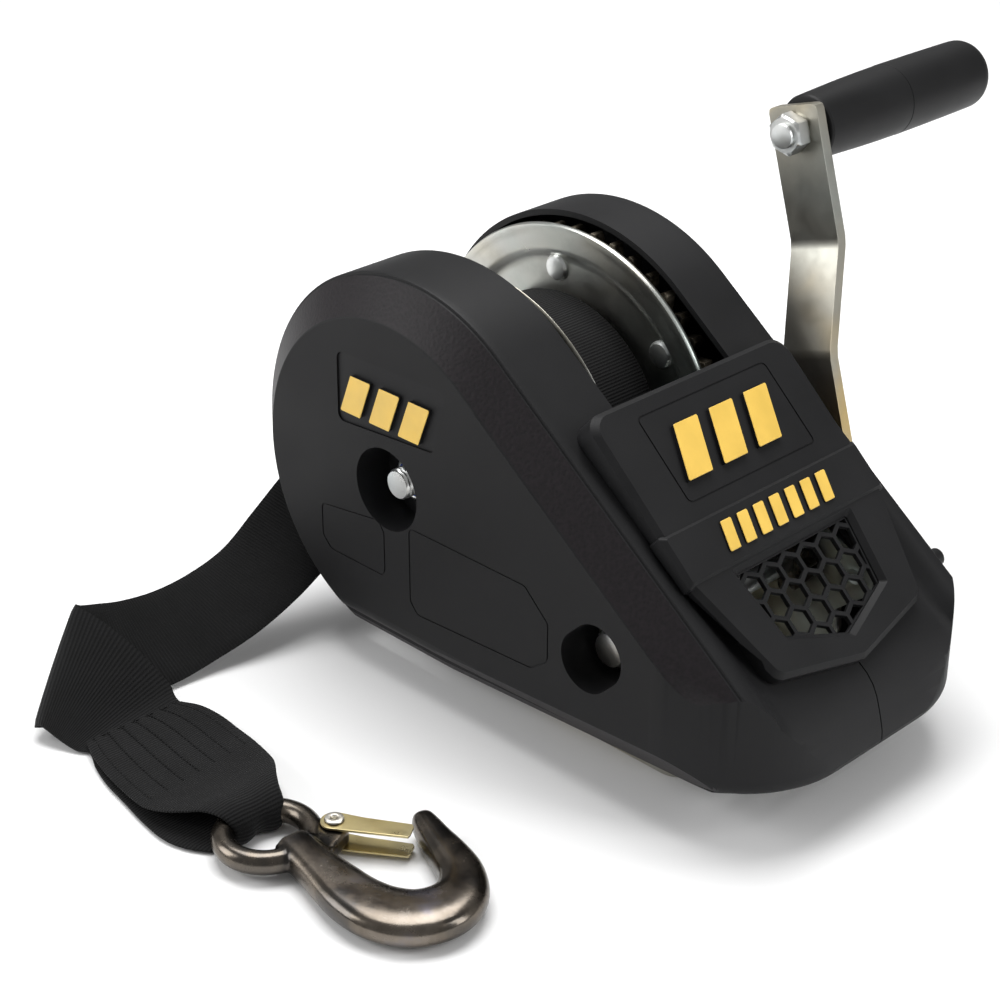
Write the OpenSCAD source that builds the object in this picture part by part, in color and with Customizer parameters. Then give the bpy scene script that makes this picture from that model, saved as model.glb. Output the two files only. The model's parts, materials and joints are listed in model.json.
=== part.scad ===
// Boat trailer winch with a two-stage gear train, strap and snap hook.
// Frame: origin on the underside of the base plate, +X towards the nose,
// +Y towards the crank, +Z up. All sizes are in millimetres.

/* [Frame] */
// Length of the base plate
base_l = 176; // [160:1:190]
// Thickness of the base plate and the side plates
plate_t = 4.5; // [3.5:0.5:5]
// Outer face of the left side plate
frame_y0 = -54.5; // [-56:0.5:-52]
// Outer face of the right side plate
frame_y1 = 63.5; // [62:0.5:64]
// Length of a mounting slot, end to end
slot_l = 24; // [18:1:30]
// Half width of a mounting slot
slot_r = 5.5; // [4.5:0.5:6]
// Slot spacing along the winch
slot_dx = 110; // [90:5:115]
// Slot spacing across the winch
slot_dy = 70; // [60:5:80]

/* [Drum] */
// Drum axis, distance behind the origin
drum_x = -70; // [-72:1:-68]
// Drum axis height
drum_z = 106; // [105:1:108]
// Radius of the wound strap
roll_r = 67; // [50:1:78]
// Radius of the gear side flange
flange_r = 97.5; // [96:0.5:98]
// Radius of the far side flange
left_flange_r = 92; // [85:1:96]
// Width of the strap
strap_w = 50.8; // [48:0.1:52]
// Thickness of the strap
strap_t = 2.4; // [1.8:0.1:3]

/* [Gears] */
// Module of the drum gear pair
drum_m = 4; // [4:4]
// Teeth of the drum gear
drum_n = 46; // [46:46]
// Teeth of the small gear on the countershaft
small_n = 10; // [10:10]
// Module of the input gear pair
input_m = 2.5; // [2.5:2.5]
// Teeth of the large gear on the countershaft
large_n = 22; // [22:22]
// Teeth of the crank pinion
pinion_n = 12; // [12:12]
// Gap between mating teeth
backlash = 0.5; // [0.3:0.1:0.8]

/* [Crank] */
// Crank axis, distance ahead of the origin
crank_x = 57; // [57:57]
// Crank axis height
crank_z = 65; // [65:65]
// Throw of the crank arm
crank_throw = 194; // [150:1:230]
// Lean of the arm from upright
crank_lean = 16.7; // [0:0.1:90]
// Length of the grip
grip_l = 132; // [110:1:150]

/* [Covers] */
// Radius of the cover crest around the drum
crest_r = 102; // [101:0.5:106]
// Step from the crest down to the side face
shoulder = 18.5; // [12:0.5:22]
// Outer side face of each cover
cover_y = 90; // [88:1:92]
// Wall thickness of the covers
wall = 3; // [2.5:0.5:3.5]

/* [Hidden] */
$fn = 64;

DRUM = [drum_x, drum_z];
CRANK = [crank_x, crank_z];
// Centre distances of the two gear pairs
pair_1 = drum_m * (drum_n + small_n) / 2;
pair_2 = input_m * (large_n + pinion_n) / 2;
// The countershaft sits where both distances meet, above the line of centres
centre_d = norm(CRANK - DRUM);
along = (pair_1 * pair_1 - pair_2 * pair_2 + centre_d * centre_d) / (2 * centre_d);
above = sqrt(pair_1 * pair_1 - along * along);
line_u = (CRANK - DRUM) / centre_d;
COUNTER = DRUM + along * line_u + above * [-line_u[1], line_u[0]];

// Places along Y
left_plate = [frame_y0, frame_y0 + plate_t];
right_plate = [frame_y1 - plate_t, frame_y1];
roll_y = [-20, -20 + strap_w];
gear_y = [41, 47];
small_y = [39.5, 49];
large_y = [50, 56];
pinion_y = [49.5, 56.5];
ratchet_y = [66, 72];
arm_y = [93, 99];
arm_step = 20;

// Shaft sizes
bolt_r = 7.9;
counter_r = 7.5;
crank_r = 8;
fit_gap = 0.05;
bush_wall = 2;

// Slope of the cover top and of the bezel, as the lean of their normals
top_lean = 53;
bezel_lean = 47.6;
bezel_d = 121;
bezel_w = 67;
// Gap between the bezel and the rims it lies on
rim_gap = 0.3;
mesh_pitch = 13;
nose_x = 158;
// Radius of the nose corners seen from above
nose_r = 60;

PAWL = [94, 66];
LEVER = [118, 74];
// Radius of the lever's cap, and where it ends along Y
lever_r = 4.6;
lever_y1 = 91.6;
// Screw posts of the covers
POSTS = [[-20, 60], [-10, 130], [25, 30]];
post_r = 6;
screw_r = 2.15;
// Radius of the rivets and of the strap's anchor pin
pin_r = 4;
// Where the strap's first turn is pinned to the flanges
ANCHOR = DRUM + 28 * dir(200);
// Bore of the drum for its bushes
bush_r = 11;
// How far the gold bars stand out
badge_t = 1.2;
grip_bolt_r = 6;
latch_r = 2.5;
ratchet_r = 24;
ratchet_n = 10;
GRIP = CRANK + crank_throw * [-sin(crank_lean), cos(crank_lean)];

black = [0.03, 0.03, 0.032];
zinc = [0.72, 0.72, 0.68];
dark = [0.12, 0.11, 0.1];
gold = [0.9, 0.68, 0.15];
webbing = [0.02, 0.02, 0.02];
bronze = [0.6, 0.42, 0.2];
hook_grey = [0.33, 0.3, 0.28];

// ---- helpers ----
function dir(a) = [cos(a), sin(a)];
function rot(v, a) = [v[0] * cos(a) - v[1] * sin(a), v[0] * sin(a) + v[1] * cos(a)];
function unit(v) = v / norm(v);
function angle_of(v) = atan2(v[1], v[0]);
function slope_point(lean, d, s) = DRUM + d * dir(lean) + s * [sin(lean), -cos(lean)];

// Extrudes an X-Z outline from y0 to y1
module slab(y0, y1) {
    translate([0, y1, 0]) rotate([90, 0, 0]) linear_extrude(y1 - y0) children();
}

// Round bar along Y
module rod(p, r, y0, y1) {
    translate([p[0], y1, p[1]]) rotate([90, 0, 0]) cylinder(r = r, h = y1 - y0);
}

module tube(p, r, hole, y0, y1) {
    difference() {
        rod(p, r, y0, y1);
        rod(p, hole, y0 - 1, y1 + 1);
    }
}

// Hexagon nut or bolt head along Y, across flats af
module hex(p, af, y0, y1) {
    translate([p[0], y1, p[1]]) rotate([90, 0, 0]) cylinder(r = af / 2 / cos(30), h = y1 - y0, $fn = 6);
}

// Profile turned around an axis along Y: points are [radius, y]
module turned(p, pts) {
    translate([p[0], 0, p[1]]) rotate([-90, 0, 0]) rotate_extrude($fn = 96) polygon(pts);
}

// ---- gears ----
pressure = 28;
function inv(r, rb) = r <= rb ? 0 : tan(acos(rb / r)) * 180 / PI - acos(rb / r);
// Half angle of a tooth at radius r
function half_tooth(m, n, r) =
    let(rp = m * n / 2, rb = rp * cos(pressure))
    (90 - backlash / 2 / rp * 180 / PI * n / 2) / n + inv(rp, rb) - inv(max(r, rb), rb);
function tooth(m, n, a) =
    let(rp = m * n / 2, rb = rp * cos(pressure), root = rp - 1.1 * m, tip = rp + 0.8 * m,
        rs = [root, max(rb, root + 0.1), rp, (rp + tip) / 2, tip])
    concat([for (r = rs) r * dir(a - half_tooth(m, n, r))],
           [for (i = [4:-1:0]) rs[i] * dir(a + half_tooth(m, n, rs[i]))]);
// Outline with a tooth centred on angle a
module gear_outline(m, n, a) {
    polygon([for (i = [0:n - 1]) each tooth(m, n, a + i * 360 / n)]);
}
module gear(p, m, n, a, y, bore) {
    difference() {
        slab(y[0], y[1]) translate(p) gear_outline(m, n, a);
        rod(p, bore, y[0] - 1, y[1] + 1);
    }
}
to_counter = angle_of(COUNTER - DRUM);
to_crank = angle_of(CRANK - COUNTER);

// ---- frame ----
module slot_holes() {
    half = slot_l / 2 - slot_r;
    mid_y = (frame_y0 + frame_y1) / 2;
    for (sx = [-1, 1], sy = [-1, 1])
        translate([sx * slot_dx / 2, mid_y + sy * slot_dy / 2, -1]) {
            for (e = [-half, half]) translate([e, 0, 0]) cylinder(r = slot_r, h = plate_t + 2);
            translate([-half, -slot_r, 0]) cube([2 * half, 2 * slot_r, plate_t + 2]);
        }
}

module base_plate() {
    color(zinc) difference() {
        linear_extrude(plate_t) hull()
            for (sx = [-1, 1], y = [frame_y0 + 12, frame_y1 - 12])
                translate([sx * (base_l / 2 - 12), y]) circle(12);
        slot_holes();
    }
}

module side_outline() {
    hull() {
        translate(DRUM) circle(28);
        translate(COUNTER) circle(17);
        translate(CRANK) circle(26);
        translate([-70, plate_t]) square([140, 10]);
        translate([78, 34]) circle(8);
    }
}

module left_side_plate() {
    color(zinc) difference() {
        slab(left_plate[0], left_plate[1]) side_outline();
        rod(DRUM, bolt_r, left_plate[0] - 1, left_plate[1] + 1);
        rod(COUNTER, counter_r + fit_gap + bush_wall, left_plate[0] - 1, left_plate[1] + 1);
        rod(CRANK, crank_r + fit_gap + bush_wall, left_plate[0] - 1, left_plate[1] + 1);
        for (p = POSTS) rod(p, screw_r + fit_gap, left_plate[0] - 1, left_plate[1] + 1);
    }
}

module right_side_plate() {
    color(zinc) difference() {
        slab(right_plate[0], right_plate[1]) union() {
            side_outline();
            hull() {
                translate(PAWL) circle(11);
                translate([60, 50]) circle(20);
                translate([60, 80]) circle(12);
            }
        }
        rod(DRUM, bolt_r, right_plate[0] - 1, right_plate[1] + 1);
        rod(COUNTER, counter_r + fit_gap + bush_wall, right_plate[0] - 1, right_plate[1] + 1);
        rod(CRANK, crank_r + fit_gap + bush_wall, right_plate[0] - 1, right_plate[1] + 1);
        rod(PAWL, pin_r, right_plate[0] - 1, right_plate[1] + 1);
        for (p = POSTS) rod(p, screw_r + fit_gap, right_plate[0] - 1, right_plate[1] + 1);
    }
}

// ---- covers ----
// Outline of a cover, drawn in by inset
module cover_outline(inset) {
    difference() {
        hull() {
            translate(DRUM) circle(crest_r - inset, $fn = 120);
            translate([nose_x - 20, 52]) circle(20 - min(inset, 17), $fn = 48);
            translate([nose_x - 9, 34]) circle(9 - min(inset, 7), $fn = 24);
        }
        bottom_cut(inset);
    }
}
// Everything below the cover's bottom line, which rises towards the nose
module bottom_cut(inset) {
    far = nose_x + 20;
    polygon([[-200, 13 + inset], [-42, 13 + inset], [far, 25 + inset], [far, -60], [-200, -60]]);
}

// Solid body of the left cover: side face, shoulder and rim
module cover_body(inset, rim_y) {
    hull() {
        slab(-cover_y + inset, -cover_y + inset + 0.2) cover_outline(shoulder + inset);
        slab(-76.2, -76) cover_outline(inset);
    }
    slab(-76, rim_y) cover_outline(inset);
}

// The nose, from the rim to the middle seam
module nose_zone() {
    p = slope_point(top_lean, 0, 184);
    translate(p) rotate(-90 + top_lean) translate([0, -150]) square([200, 400]);
}

// The covers' outline seen from above, rounded at the nose
module nose_plan(inset) {
    translate([0, 0, -20]) linear_extrude(260) hull() {
        translate([-220, -cover_y + inset]) square([200, 2 * (cover_y - inset)]);
        for (y = [-1, 1]) translate([nose_x - nose_r, y * (cover_y - nose_r)])
            circle(nose_r - inset, $fn = 120);
    }
}

module cover_shell(rim_y, seam_y) {
    difference() {
        intersection() {
            union() {
                cover_body(0, rim_y);
                intersection() {
                    slab(rim_y - 0.5, seam_y) cover_outline(0);
                    slab(rim_y - 0.5, seam_y) nose_zone();
                }
            }
            nose_plan(0);
        }
        intersection() {
            union() {
                cover_body(wall, rim_y + 1);
                intersection() {
                    slab(rim_y - 1, seam_y + 1) cover_outline(wall);
                    slab(rim_y - 1, seam_y + 1) translate([-wall, 0]) nose_zone();
                }
            }
            nose_plan(wall);
        }
        // The frame stands in the open bottom
        translate([-112, -frame_y1 - 4, -10]) cube([224, 2 * (frame_y1 + 4), 38]);
        // Room behind the mesh window
        on_slope(bezel_lean, bezel_d - 14) linear_extrude(30) polygon(swap(window(-3)));
    }
}

module post(p, y0, y1) {
    tube(p, post_r, screw_r + fit_gap, y0, y1);
}

module left_cover() {
    color(black) {
        difference() {
            cover_shell(-37, -0.1);
            rod(DRUM, 21, -95, -80);
            slab(-95, -80) hull() {
                translate([60, 68]) circle(15);
                translate([66, 74]) circle(15);
            }
        }
        for (p = POSTS) post(p, -cover_y + wall, frame_y0);
    }
}

module right_cover() {
    color(black) {
        difference() {
            mirror([0, 1, 0]) cover_shell(-43, -0.1);
            rod(CRANK, 14, 80, 95);
            slab(74, 95) hull()
                for (a = [-20, 0, 20]) translate(PAWL + rot(LEVER - PAWL, a)) circle(lever_r + 3);
        }
        for (p = POSTS) post(p, frame_y1, cover_y - wall);
    }
}

module cover_screws() {
    color(zinc) for (p = POSTS) {
        rod(p, screw_r, frame_y0 - 12, left_plate[1] + 0.1);
        rod(p, 4.5, left_plate[1], left_plate[1] + 2.5);
        rod(p, screw_r, right_plate[0] - 0.1, frame_y1 + 12);
        rod(p, 4.5, right_plate[0] - 2.5, right_plate[0]);
    }
}

// ---- bezel ----
// Bezel outline in its own plane: y across, s down the slope
function bezel_edge(d) = [
    [-bezel_w + d, 34 + d], [bezel_w - d, 34 + d], [bezel_w - d, 121], [52 - d, 173 - d / 2],
    [0, 184 - d], [-52 + d, 173 - d / 2], [-bezel_w + d, 121]];
module on_slope(lean, d) {
    translate([drum_x, 0, drum_z]) rotate([0, 90 - lean, 0]) translate([0, 0, d]) children();
}
function window(d) = [[-39 + d, 124 + d], [39 - d, 124 + d], [34 - d, 158], [0, 171 - d], [-34 + d, 158]];
function swap(pts) = [for (p = pts) [p[1], p[0]]];

module front_bezel() {
    color(black) difference() {
        on_slope(bezel_lean, bezel_d - 26) linear_extrude(26) polygon(swap(bezel_edge(0)));
        // Rests on the two rims
        slab(-100, 100) translate(DRUM) rotate(top_lean - 90)
            translate([-150, -200]) square([500, 200 + crest_r + rim_gap]);
        on_slope(bezel_lean, bezel_d - 40) linear_extrude(40 - 4) polygon(swap(bezel_edge(4)));
        on_slope(bezel_lean, bezel_d - 10) linear_extrude(20) polygon(swap(window(0)));
    }
}

module bezel_mesh() {
    color(black) on_slope(bezel_lean, bezel_d - 7) linear_extrude(2.5) difference() {
        polygon(swap(window(-1.5)));
        intersection() {
            polygon(swap(window(1)));
            for (i = [-4:4], j = [0:4])
                translate([122 + j * mesh_pitch * 0.866, (i + (j % 2) / 2) * mesh_pitch])
                    circle(mesh_pitch / 2 / cos(30) - 1.2, $fn = 6);
        }
    }
}

// Slanted bars, a plain ornament
module bars(n, w, h, pitch, lean) {
    x = w / 2;
    y = h / 2;
    for (i = [0:n - 1]) translate([(i - (n - 1) / 2) * pitch, 0])
        polygon([[-x - lean, -y], [x - lean, -y], [x + lean, y], [-x + lean, y]]);
}

module front_badge() {
    color(gold) on_slope(bezel_lean, bezel_d) linear_extrude(badge_t)
        translate([66, 0]) rotate(-90) bars(3, 16, 26, 24, 5);
}
module band_badge() {
    color(gold) on_slope(bezel_lean, bezel_d) linear_extrude(badge_t)
        translate([108, 0]) rotate(-90) bars(7, 7, 14, 11, 2);
}
module side_badge() {
    color(gold) slab(-cover_y - badge_t, -cover_y) translate([-69, 148]) bars(3, 14, 20, 20, 4);
}

// ---- drum axle ----
module drum_bolt() {
    color(zinc) {
        rod(DRUM, bolt_r, -83, frame_y1);
        hex(DRUM, 24, frame_y1, frame_y1 + 10);
    }
}
module drum_nut() {
    color(zinc) difference() {
        hex(DRUM, 24, frame_y0 - 16, frame_y0 - 2.5);
        rod(DRUM, bolt_r, frame_y0 - 20, frame_y0);
    }
}
module drum_nut_insert() {
    color([0.1, 0.2, 0.5]) tube(DRUM, 10, bolt_r, frame_y0 - 18.5, frame_y0 - 16);
}
module drum_washers() {
    color(zinc) tube(DRUM, 14, bolt_r, frame_y0 - 2.5, frame_y0);
}
module drum_spacers() {
    color(zinc) {
        tube(DRUM, 13, bolt_r, left_plate[1], -26.3);
        tube(DRUM, 13, bolt_r, 47.3, right_plate[0]);
    }
}

// ---- shaft bushes ----
module bush_pair(p, r) {
    for (y = [left_plate, right_plate]) tube(p, r + fit_gap + bush_wall, r + fit_gap, y[0], y[1]);
}
module crank_bushes() {
    color(bronze) bush_pair(CRANK, crank_r);
}
module countershaft_bushes() {
    color(bronze) bush_pair(COUNTER, counter_r);
}

// ---- drum ----
hub_r = 22;
module drum_hub() {
    color(zinc) tube(DRUM, hub_r, bush_r, -23, 38);
}
module drum_bushes() {
    color(bronze) {
        tube(DRUM, bush_r, bolt_r + fit_gap, -26, -8);
        tube(DRUM, bush_r, bolt_r + fit_gap, 20, 47);
    }
}
module left_flange() {
    r = left_flange_r;
    color(zinc) difference() {
        turned(DRUM, [[bush_r, -26], [r - 2, -26], [r, -24.5], [r - 2, -23], [bush_r, -23]]);
        rod(ANCHOR, pin_r, -30, -20);
    }
}
module right_flange() {
    r = flange_r;
    color(zinc) difference() {
        turned(DRUM, [[bush_r, 38], [82, 38], [84, 34], [r - 3, 34], [r - 1, 33], [r, 34.5],
            [r - 0.5, 37], [85, 37], [83, 41], [bush_r, 41]]);
        rod(ANCHOR, pin_r, 30, 45);
        for (i = [0:RIVET_N - 1]) rod(rivet_at(i), pin_r, 30, 45);
    }
}
RIVET_N = 6;
function rivet_at(i) = DRUM + 74 * dir(40 + i * 360 / RIVET_N);
module drum_gear() {
    color(dark) difference() {
        gear(DRUM, drum_m, drum_n, to_counter, gear_y, bush_r);
        for (i = [0:RIVET_N - 1]) rod(rivet_at(i), pin_r, 40, 50);
        rod(ANCHOR, pin_r, 40, 50);
    }
}
module drum_rivets() {
    color(zinc) for (i = [0:RIVET_N - 1]) {
        rod(rivet_at(i), pin_r, 38, 47);
        rod(rivet_at(i), 7, 35.5, 38);
        rod(rivet_at(i), 5.5, 47, 48.5);
    }
}
module strap_roll() {
    color(webbing) tube(DRUM, roll_r, 34, roll_y[0], roll_y[1]);
}
module strap_anchor() {
    color(zinc) {
        rod(ANCHOR, pin_r, -26, 47);
        rod(ANCHOR, 5.9, -23, 38);
    }
}

// ---- countershaft ----
module countershaft() {
    color(zinc) rod(COUNTER, counter_r, frame_y0 - 4.5, frame_y1 + 4.5);
}
module counter_gear() {
    color(dark) gear(COUNTER, input_m, large_n, to_crank, large_y, counter_r);
}
module counter_pinion() {
    color(dark) gear(COUNTER, drum_m, small_n, to_counter + 180 + 180 / small_n, small_y, counter_r);
}
module counter_clips() {
    color(zinc) {
        tube(COUNTER, 11, counter_r, frame_y0 - 2, frame_y0 - 0.4);
        tube(COUNTER, 11, counter_r, frame_y1 + 0.4, frame_y1 + 2);
    }
}

// ---- crank ----
module crank_shaft() {
    color(zinc) rod(CRANK, crank_r, -72, 108);
}
module crank_pinion() {
    color(dark) gear(CRANK, input_m, pinion_n, to_crank + 180 + 180 / pinion_n, pinion_y, crank_r);
}
module ratchet_outline() {
    a0 = angle_of(PAWL - CRANK);
    p = 360 / ratchet_n;
    polygon([for (i = [0:ratchet_n - 1]) each
        [for (k = [[-0.24, ratchet_r], [0.24, ratchet_r], [0.36, 19], [0.64, 19]])
            k[1] * dir(a0 + (i + k[0]) * p)]]);
}
module ratchet_wheel() {
    color(zinc) difference() {
        slab(ratchet_y[0], ratchet_y[1]) translate(CRANK) ratchet_outline();
        rod(CRANK, crank_r, ratchet_y[0] - 1, ratchet_y[1] + 1);
    }
}
module crank_spacer() {
    color(zinc) {
        tube(CRANK, 12, crank_r, ratchet_y[1], arm_y[0]);
        tube(CRANK, 12, crank_r, frame_y1 + 0.4, ratchet_y[0]);
    }
}
bend_low = crank_throw - 105;
bend_high = crank_throw - 55;
module in_arm() {
    translate([crank_x, 0, crank_z]) rotate([0, -crank_lean, 0]) children();
}
module crank_arm() {
    y0 = arm_y[0];
    y1 = arm_y[1];
    k = (y1 - y0) * 0.2;
    top = crank_throw + 20;
    color(zinc) difference() {
        intersection() {
            in_arm() translate([0, 150, 0]) rotate([90, 0, 0]) linear_extrude(100) hull() {
                circle(16);
                translate([0, 60]) square([27, 1], center = true);
                translate([0, crank_throw]) circle(13.5);
            }
            in_arm() translate([-20, 0, 0]) rotate([90, 0, 90]) linear_extrude(40) polygon([
                [y0, -20], [y1, -20], [y1, bend_low - k], [y1 + arm_step, bend_high - k],
                [y1 + arm_step, top], [y0 + arm_step, top],
                [y0 + arm_step, bend_high + k], [y0, bend_low + k]]);
        }
        rod(CRANK, crank_r, y0 - 1, y1 + 1);
        rod(GRIP, grip_bolt_r, 100, 125);
    }
}
module crank_washer() {
    color(zinc) tube(CRANK, 14, crank_r, arm_y[1], arm_y[1] + 2);
}
module crank_nut() {
    color(zinc) difference() {
        hex(CRANK, 22, arm_y[1] + 2, arm_y[1] + 10);
        rod(CRANK, crank_r, 100, 112);
    }
}
module shaft_lock_nut() {
    color(zinc) difference() {
        union() {
            hex(CRANK, 19, -68, frame_y0 - 2.4);
            rod(CRANK, 13, frame_y0 - 2.4, frame_y0 - 0.4);
        }
        rod(CRANK, crank_r, -80, -50);
    }
}

// ---- grip ----
grip_y = arm_y[1] + arm_step + 2;
grip_end = grip_y + grip_l;
module grip_bolt() {
    color(zinc) {
        rod(GRIP, grip_bolt_r, arm_y[0] + arm_step - 11, grip_end - 14);
        rod(GRIP, 9.5, grip_end - 14, grip_end - 8);
    }
}
module grip_nut() {
    color(zinc) difference() {
        hex(GRIP, 18, arm_y[0] + arm_step - 9, arm_y[0] + arm_step);
        rod(GRIP, grip_bolt_r, 95, 120);
    }
}
module grip() {
    bore = grip_bolt_r + fit_gap;
    color(black) difference() {
        turned(GRIP, [[bore, grip_y], [15, grip_y], [16, grip_y + 1], [17.2, grip_y + grip_l * 0.35],
            [18, grip_y + grip_l * 0.62], [17.4, grip_end - 12], [16.2, grip_end - 4], [bore, grip_end - 4]]);
        rod(GRIP, 11, grip_end - 14.4, grip_end);
    }
}
module grip_cap() {
    color(black) {
        turned(GRIP, [[0, grip_end - 4], [16.2, grip_end - 4], [14.5, grip_end - 1], [10, grip_end],
            [0, grip_end]]);
        tube(GRIP, 11, 8, grip_end - 7.5, grip_end - 3.9);
    }
}

// ---- pawl ----
module pawl_pin() {
    color(zinc) rod(PAWL, pin_r, right_plate[0], 76);
}
module pawl_clip() {
    color(zinc) tube(PAWL, 6.5, pin_r, 73, 74.2);
}
// Two-way rocker: at each end of its travel a prong stops just outside the ratchet's teeth
module pawl() {
    toward = angle_of(CRANK - PAWL);
    reach = 13.8;
    color(zinc) difference() {
        slab(66.4, 71.4) translate(PAWL) union() {
            circle(7.5);
            for (sgn = [-1, 1]) rotate(toward + sgn * 36.7)
                polygon([[0, -5], [10, -2.6], [reach, -0.8], [reach, 0.8], [10, 2.6], [0, 5]]);
            rotate(angle_of(LEVER - PAWL)) translate([0, -5]) square([norm(LEVER - PAWL), 10]);
            translate(LEVER - PAWL) circle(6);
        }
        rod(PAWL, pin_r + fit_gap, 60, 80);
        rod(LEVER, 3, 60, 80);
    }
}
module pawl_lever() {
    color(zinc) rod(LEVER, 3, 66.4, lever_y1 - 8);
}
module lever_cap() {
    e = lever_y1;
    groove = lever_r - 0.7;
    color(black) difference() {
        turned(LEVER, [[0, 73], [lever_r, 73], [lever_r, e - 9], [groove, e - 8.2], [groove, e - 6.8],
            [lever_r, e - 6], [lever_r - 0.2, e - 1], [lever_r - 1.2, e], [0, e]]);
        rod(LEVER, 3, 70, e - 8);
    }
}
module pawl_spring() {
    color(zinc) translate([PAWL[0] + 9, 74.8, PAWL[1] - 26]) rotate([-90, 0, 0])
        rotate_extrude() translate([5, 0]) circle(0.9);
}

// ---- strap and hook ----
// Route of the strap: one point on each of its two edges
ROUTE = [
    [[-139, 31, 106], [-139, -20, 106]], [[-140, 30, 92], [-140, -20, 94]],
    [[-146, 27, 74], [-151, -19, 94]], [[-153, 18, 58], [-164, -18, 93]],
    [[-157, 5, 46], [-174, -23, 85]], [[-155, -14, 41], [-180, -41, 77]],
    [[-149, -38, 36], [-180, -63, 66]], [[-142, -64, 30], [-179, -85, 52]],
    [[-136, -92, 22], [-180, -105, 37]], [[-135, -120, 13], [-180, -127, 31]],
    [[-138, -145, 6], [-181, -148, 29]], [[-140, -170, 2], [-182, -168, 31]],
    [[-144, -198, 2], [-184, -182, 34]], [[-148, -228, 2], [-185, -190, 36]],
    [[-151, -242, 5], [-185, -193, 38]], [[-146, -243, 9], [-181, -194, 39]],
    [[-141, -242, 8], [-173, -189, 34]], [[-134, -240, 5], [-158, -181, 22]],
    [[-126, -237, 2], [-140, -174, 6]], [[-120, -234, 2], [-128, -177, 2]]];
steps = 4;

// Point on edge e, a share t of the way from place i to the next
function between(i, t, e) =
    let(n = len(ROUTE) - 1, a = ROUTE[max(i - 1, 0)][e], b = ROUTE[i][e],
        c = ROUTE[min(i + 1, n)][e], d = ROUTE[min(i + 2, n)][e])
    b + 0.5 * ((c - a) * t + (2 * a - 5 * b + 4 * c - d) * t * t + (3 * b - a - 3 * c + d) * t * t * t);
rung_n = (len(ROUTE) - 1) * steps;
function edge(j, e) =
    j >= rung_n ? ROUTE[len(ROUTE) - 1][e] : between(floor(j / steps), (j % steps) / steps, e);
function mid(j) = (edge(j, 0) + edge(j, 1)) / 2;
function run(j) = mid(min(j + 1, rung_n)) - mid(max(j - 1, 0));
function ring(j) =
    let(a = edge(j, 0), b = edge(j, 1), n = unit(cross(run(j), a - b)) * strap_t / 2)
    [a + n, b + n, b - n, a - n];
module strap() {
    last = 4 * rung_n;
    color(webbing) polyhedron(
        points = [for (j = [0:rung_n]) each ring(j)],
        faces = concat([[3, 2, 1], [3, 1, 0]],
            [for (j = [0:rung_n - 1], k = [0:3])
                let(a = 4 * j + k, b = 4 * j + (k + 1) % 4) each [[a, b, b + 4], [a, b + 4, a + 4]]],
            [[last, last + 1, last + 2], [last, last + 2, last + 3]]));
}

// The hook lies flat; its eye holds the sewn end of the strap
EYE = [-5, -221];
eye_r = 19.5;
eye_bar = 5.5;
hook_z = 8;
module eye_ring(grow) {
    translate([EYE[0], EYE[1], hook_z]) rotate_extrude()
        translate([eye_r, 0]) circle(eye_bar + grow, $fn = 32);
}
// Doubled and sewn webbing, then the loop that narrows into the eye
module strap_end() {
    color(webbing) difference() {
        union() {
            translate([0, 0, 0.6]) linear_extrude(5)
                polygon([[-119.2, -234], [-127.2, -177], [-87, -180], [-62, -186], [-62, -246], [-80, -243]]);
            hull() {
                translate([-62.1, -246, 0.6]) cube([0.1, 60, 5]);
                translate([-34, -248, 0.6]) cube([0.1, 62, 14]);
            }
            hull() {
                translate([-34, -248, 0.6]) cube([0.1, 62, 14]);
                translate([-14, -232, 0.6]) cube([0.1, 22, 14]);
            }
        }
        eye_ring(0.2);
    }
}
// Centre line of the hook: place and half width
HOOK = [[12, -219, 8], [24, -220, 9.5], [40, -222, 11.5], [56, -224, 13.5], [70, -222, 15], [82, -214, 15.5],
    [87, -202, 14.5], [84, -189, 12], [74, -180, 10], [62, -175, 9], [50, -172, 7.5], [38, -167.5, 5.5]];
function hook_at(i) =
    let(p = HOOK[max(0, min(i, len(HOOK) - 1))])
    [p[0], p[1]];
function hook_dir(i) = unit(hook_at(i + 1) - hook_at(i - 1));
function hook_side(i, s) = hook_at(i) + s * HOOK[i][2] * rot(hook_dir(i), 90);
LATCH = [13, -198];
module hook_body() {
    color(hook_grey) difference() {
        union() {
            eye_ring(0);
            translate([0, 0, 1]) linear_extrude(14) {
                polygon(concat([for (i = [0:len(HOOK) - 1]) hook_side(i, 1)],
                    [for (i = [len(HOOK) - 1:-1:0]) hook_side(i, -1)]));
                translate([38, -167.5]) circle(5.5);
            }
            // Ear that carries the latch
            translate([0, 0, 4.5]) linear_extrude(7)
                polygon([[6, -206], [7, -198], [10, -193.5], [16, -193], [19, -197], [24, -212], [12, -216]]);
        }
        translate([LATCH[0], LATCH[1], -1]) cylinder(r = latch_r, h = 20);
    }
}
module latch_pin() {
    color(zinc) translate([LATCH[0], LATCH[1], 0]) {
        translate([0, 0, 0.6]) cylinder(r = latch_r, h = 14.8);
        translate([0, 0, 14.4]) cylinder(r = 4, h = 1.2);
        translate([0, 0, 0.4]) cylinder(r = 4, h = 1.2);
    }
}
gate_a = 32;
gate_l = 34.5;
module latch_gate() {
    color([0.66, 0.58, 0.36]) translate([LATCH[0], LATCH[1], 0]) difference() {
        rotate([0, 0, gate_a]) union() {
            for (z = [2.2, 12.6]) translate([0, 0, z]) linear_extrude(1.2) hull() {
                circle(6);
                translate([gate_l - 2, -5]) square([2, 10]);
            }
            translate([10, 4, 2.2]) cube([gate_l - 10, 1.2, 11.6]);
        }
        translate([0, 0, -1]) cylinder(r = latch_r + fit_gap, h = 20);
    }
}
module latch_spring() {
    color(zinc) translate([LATCH[0], LATCH[1], 12]) rotate_extrude()
        translate([3.4, 0]) circle(0.35, $fn = 16);
}

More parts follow.
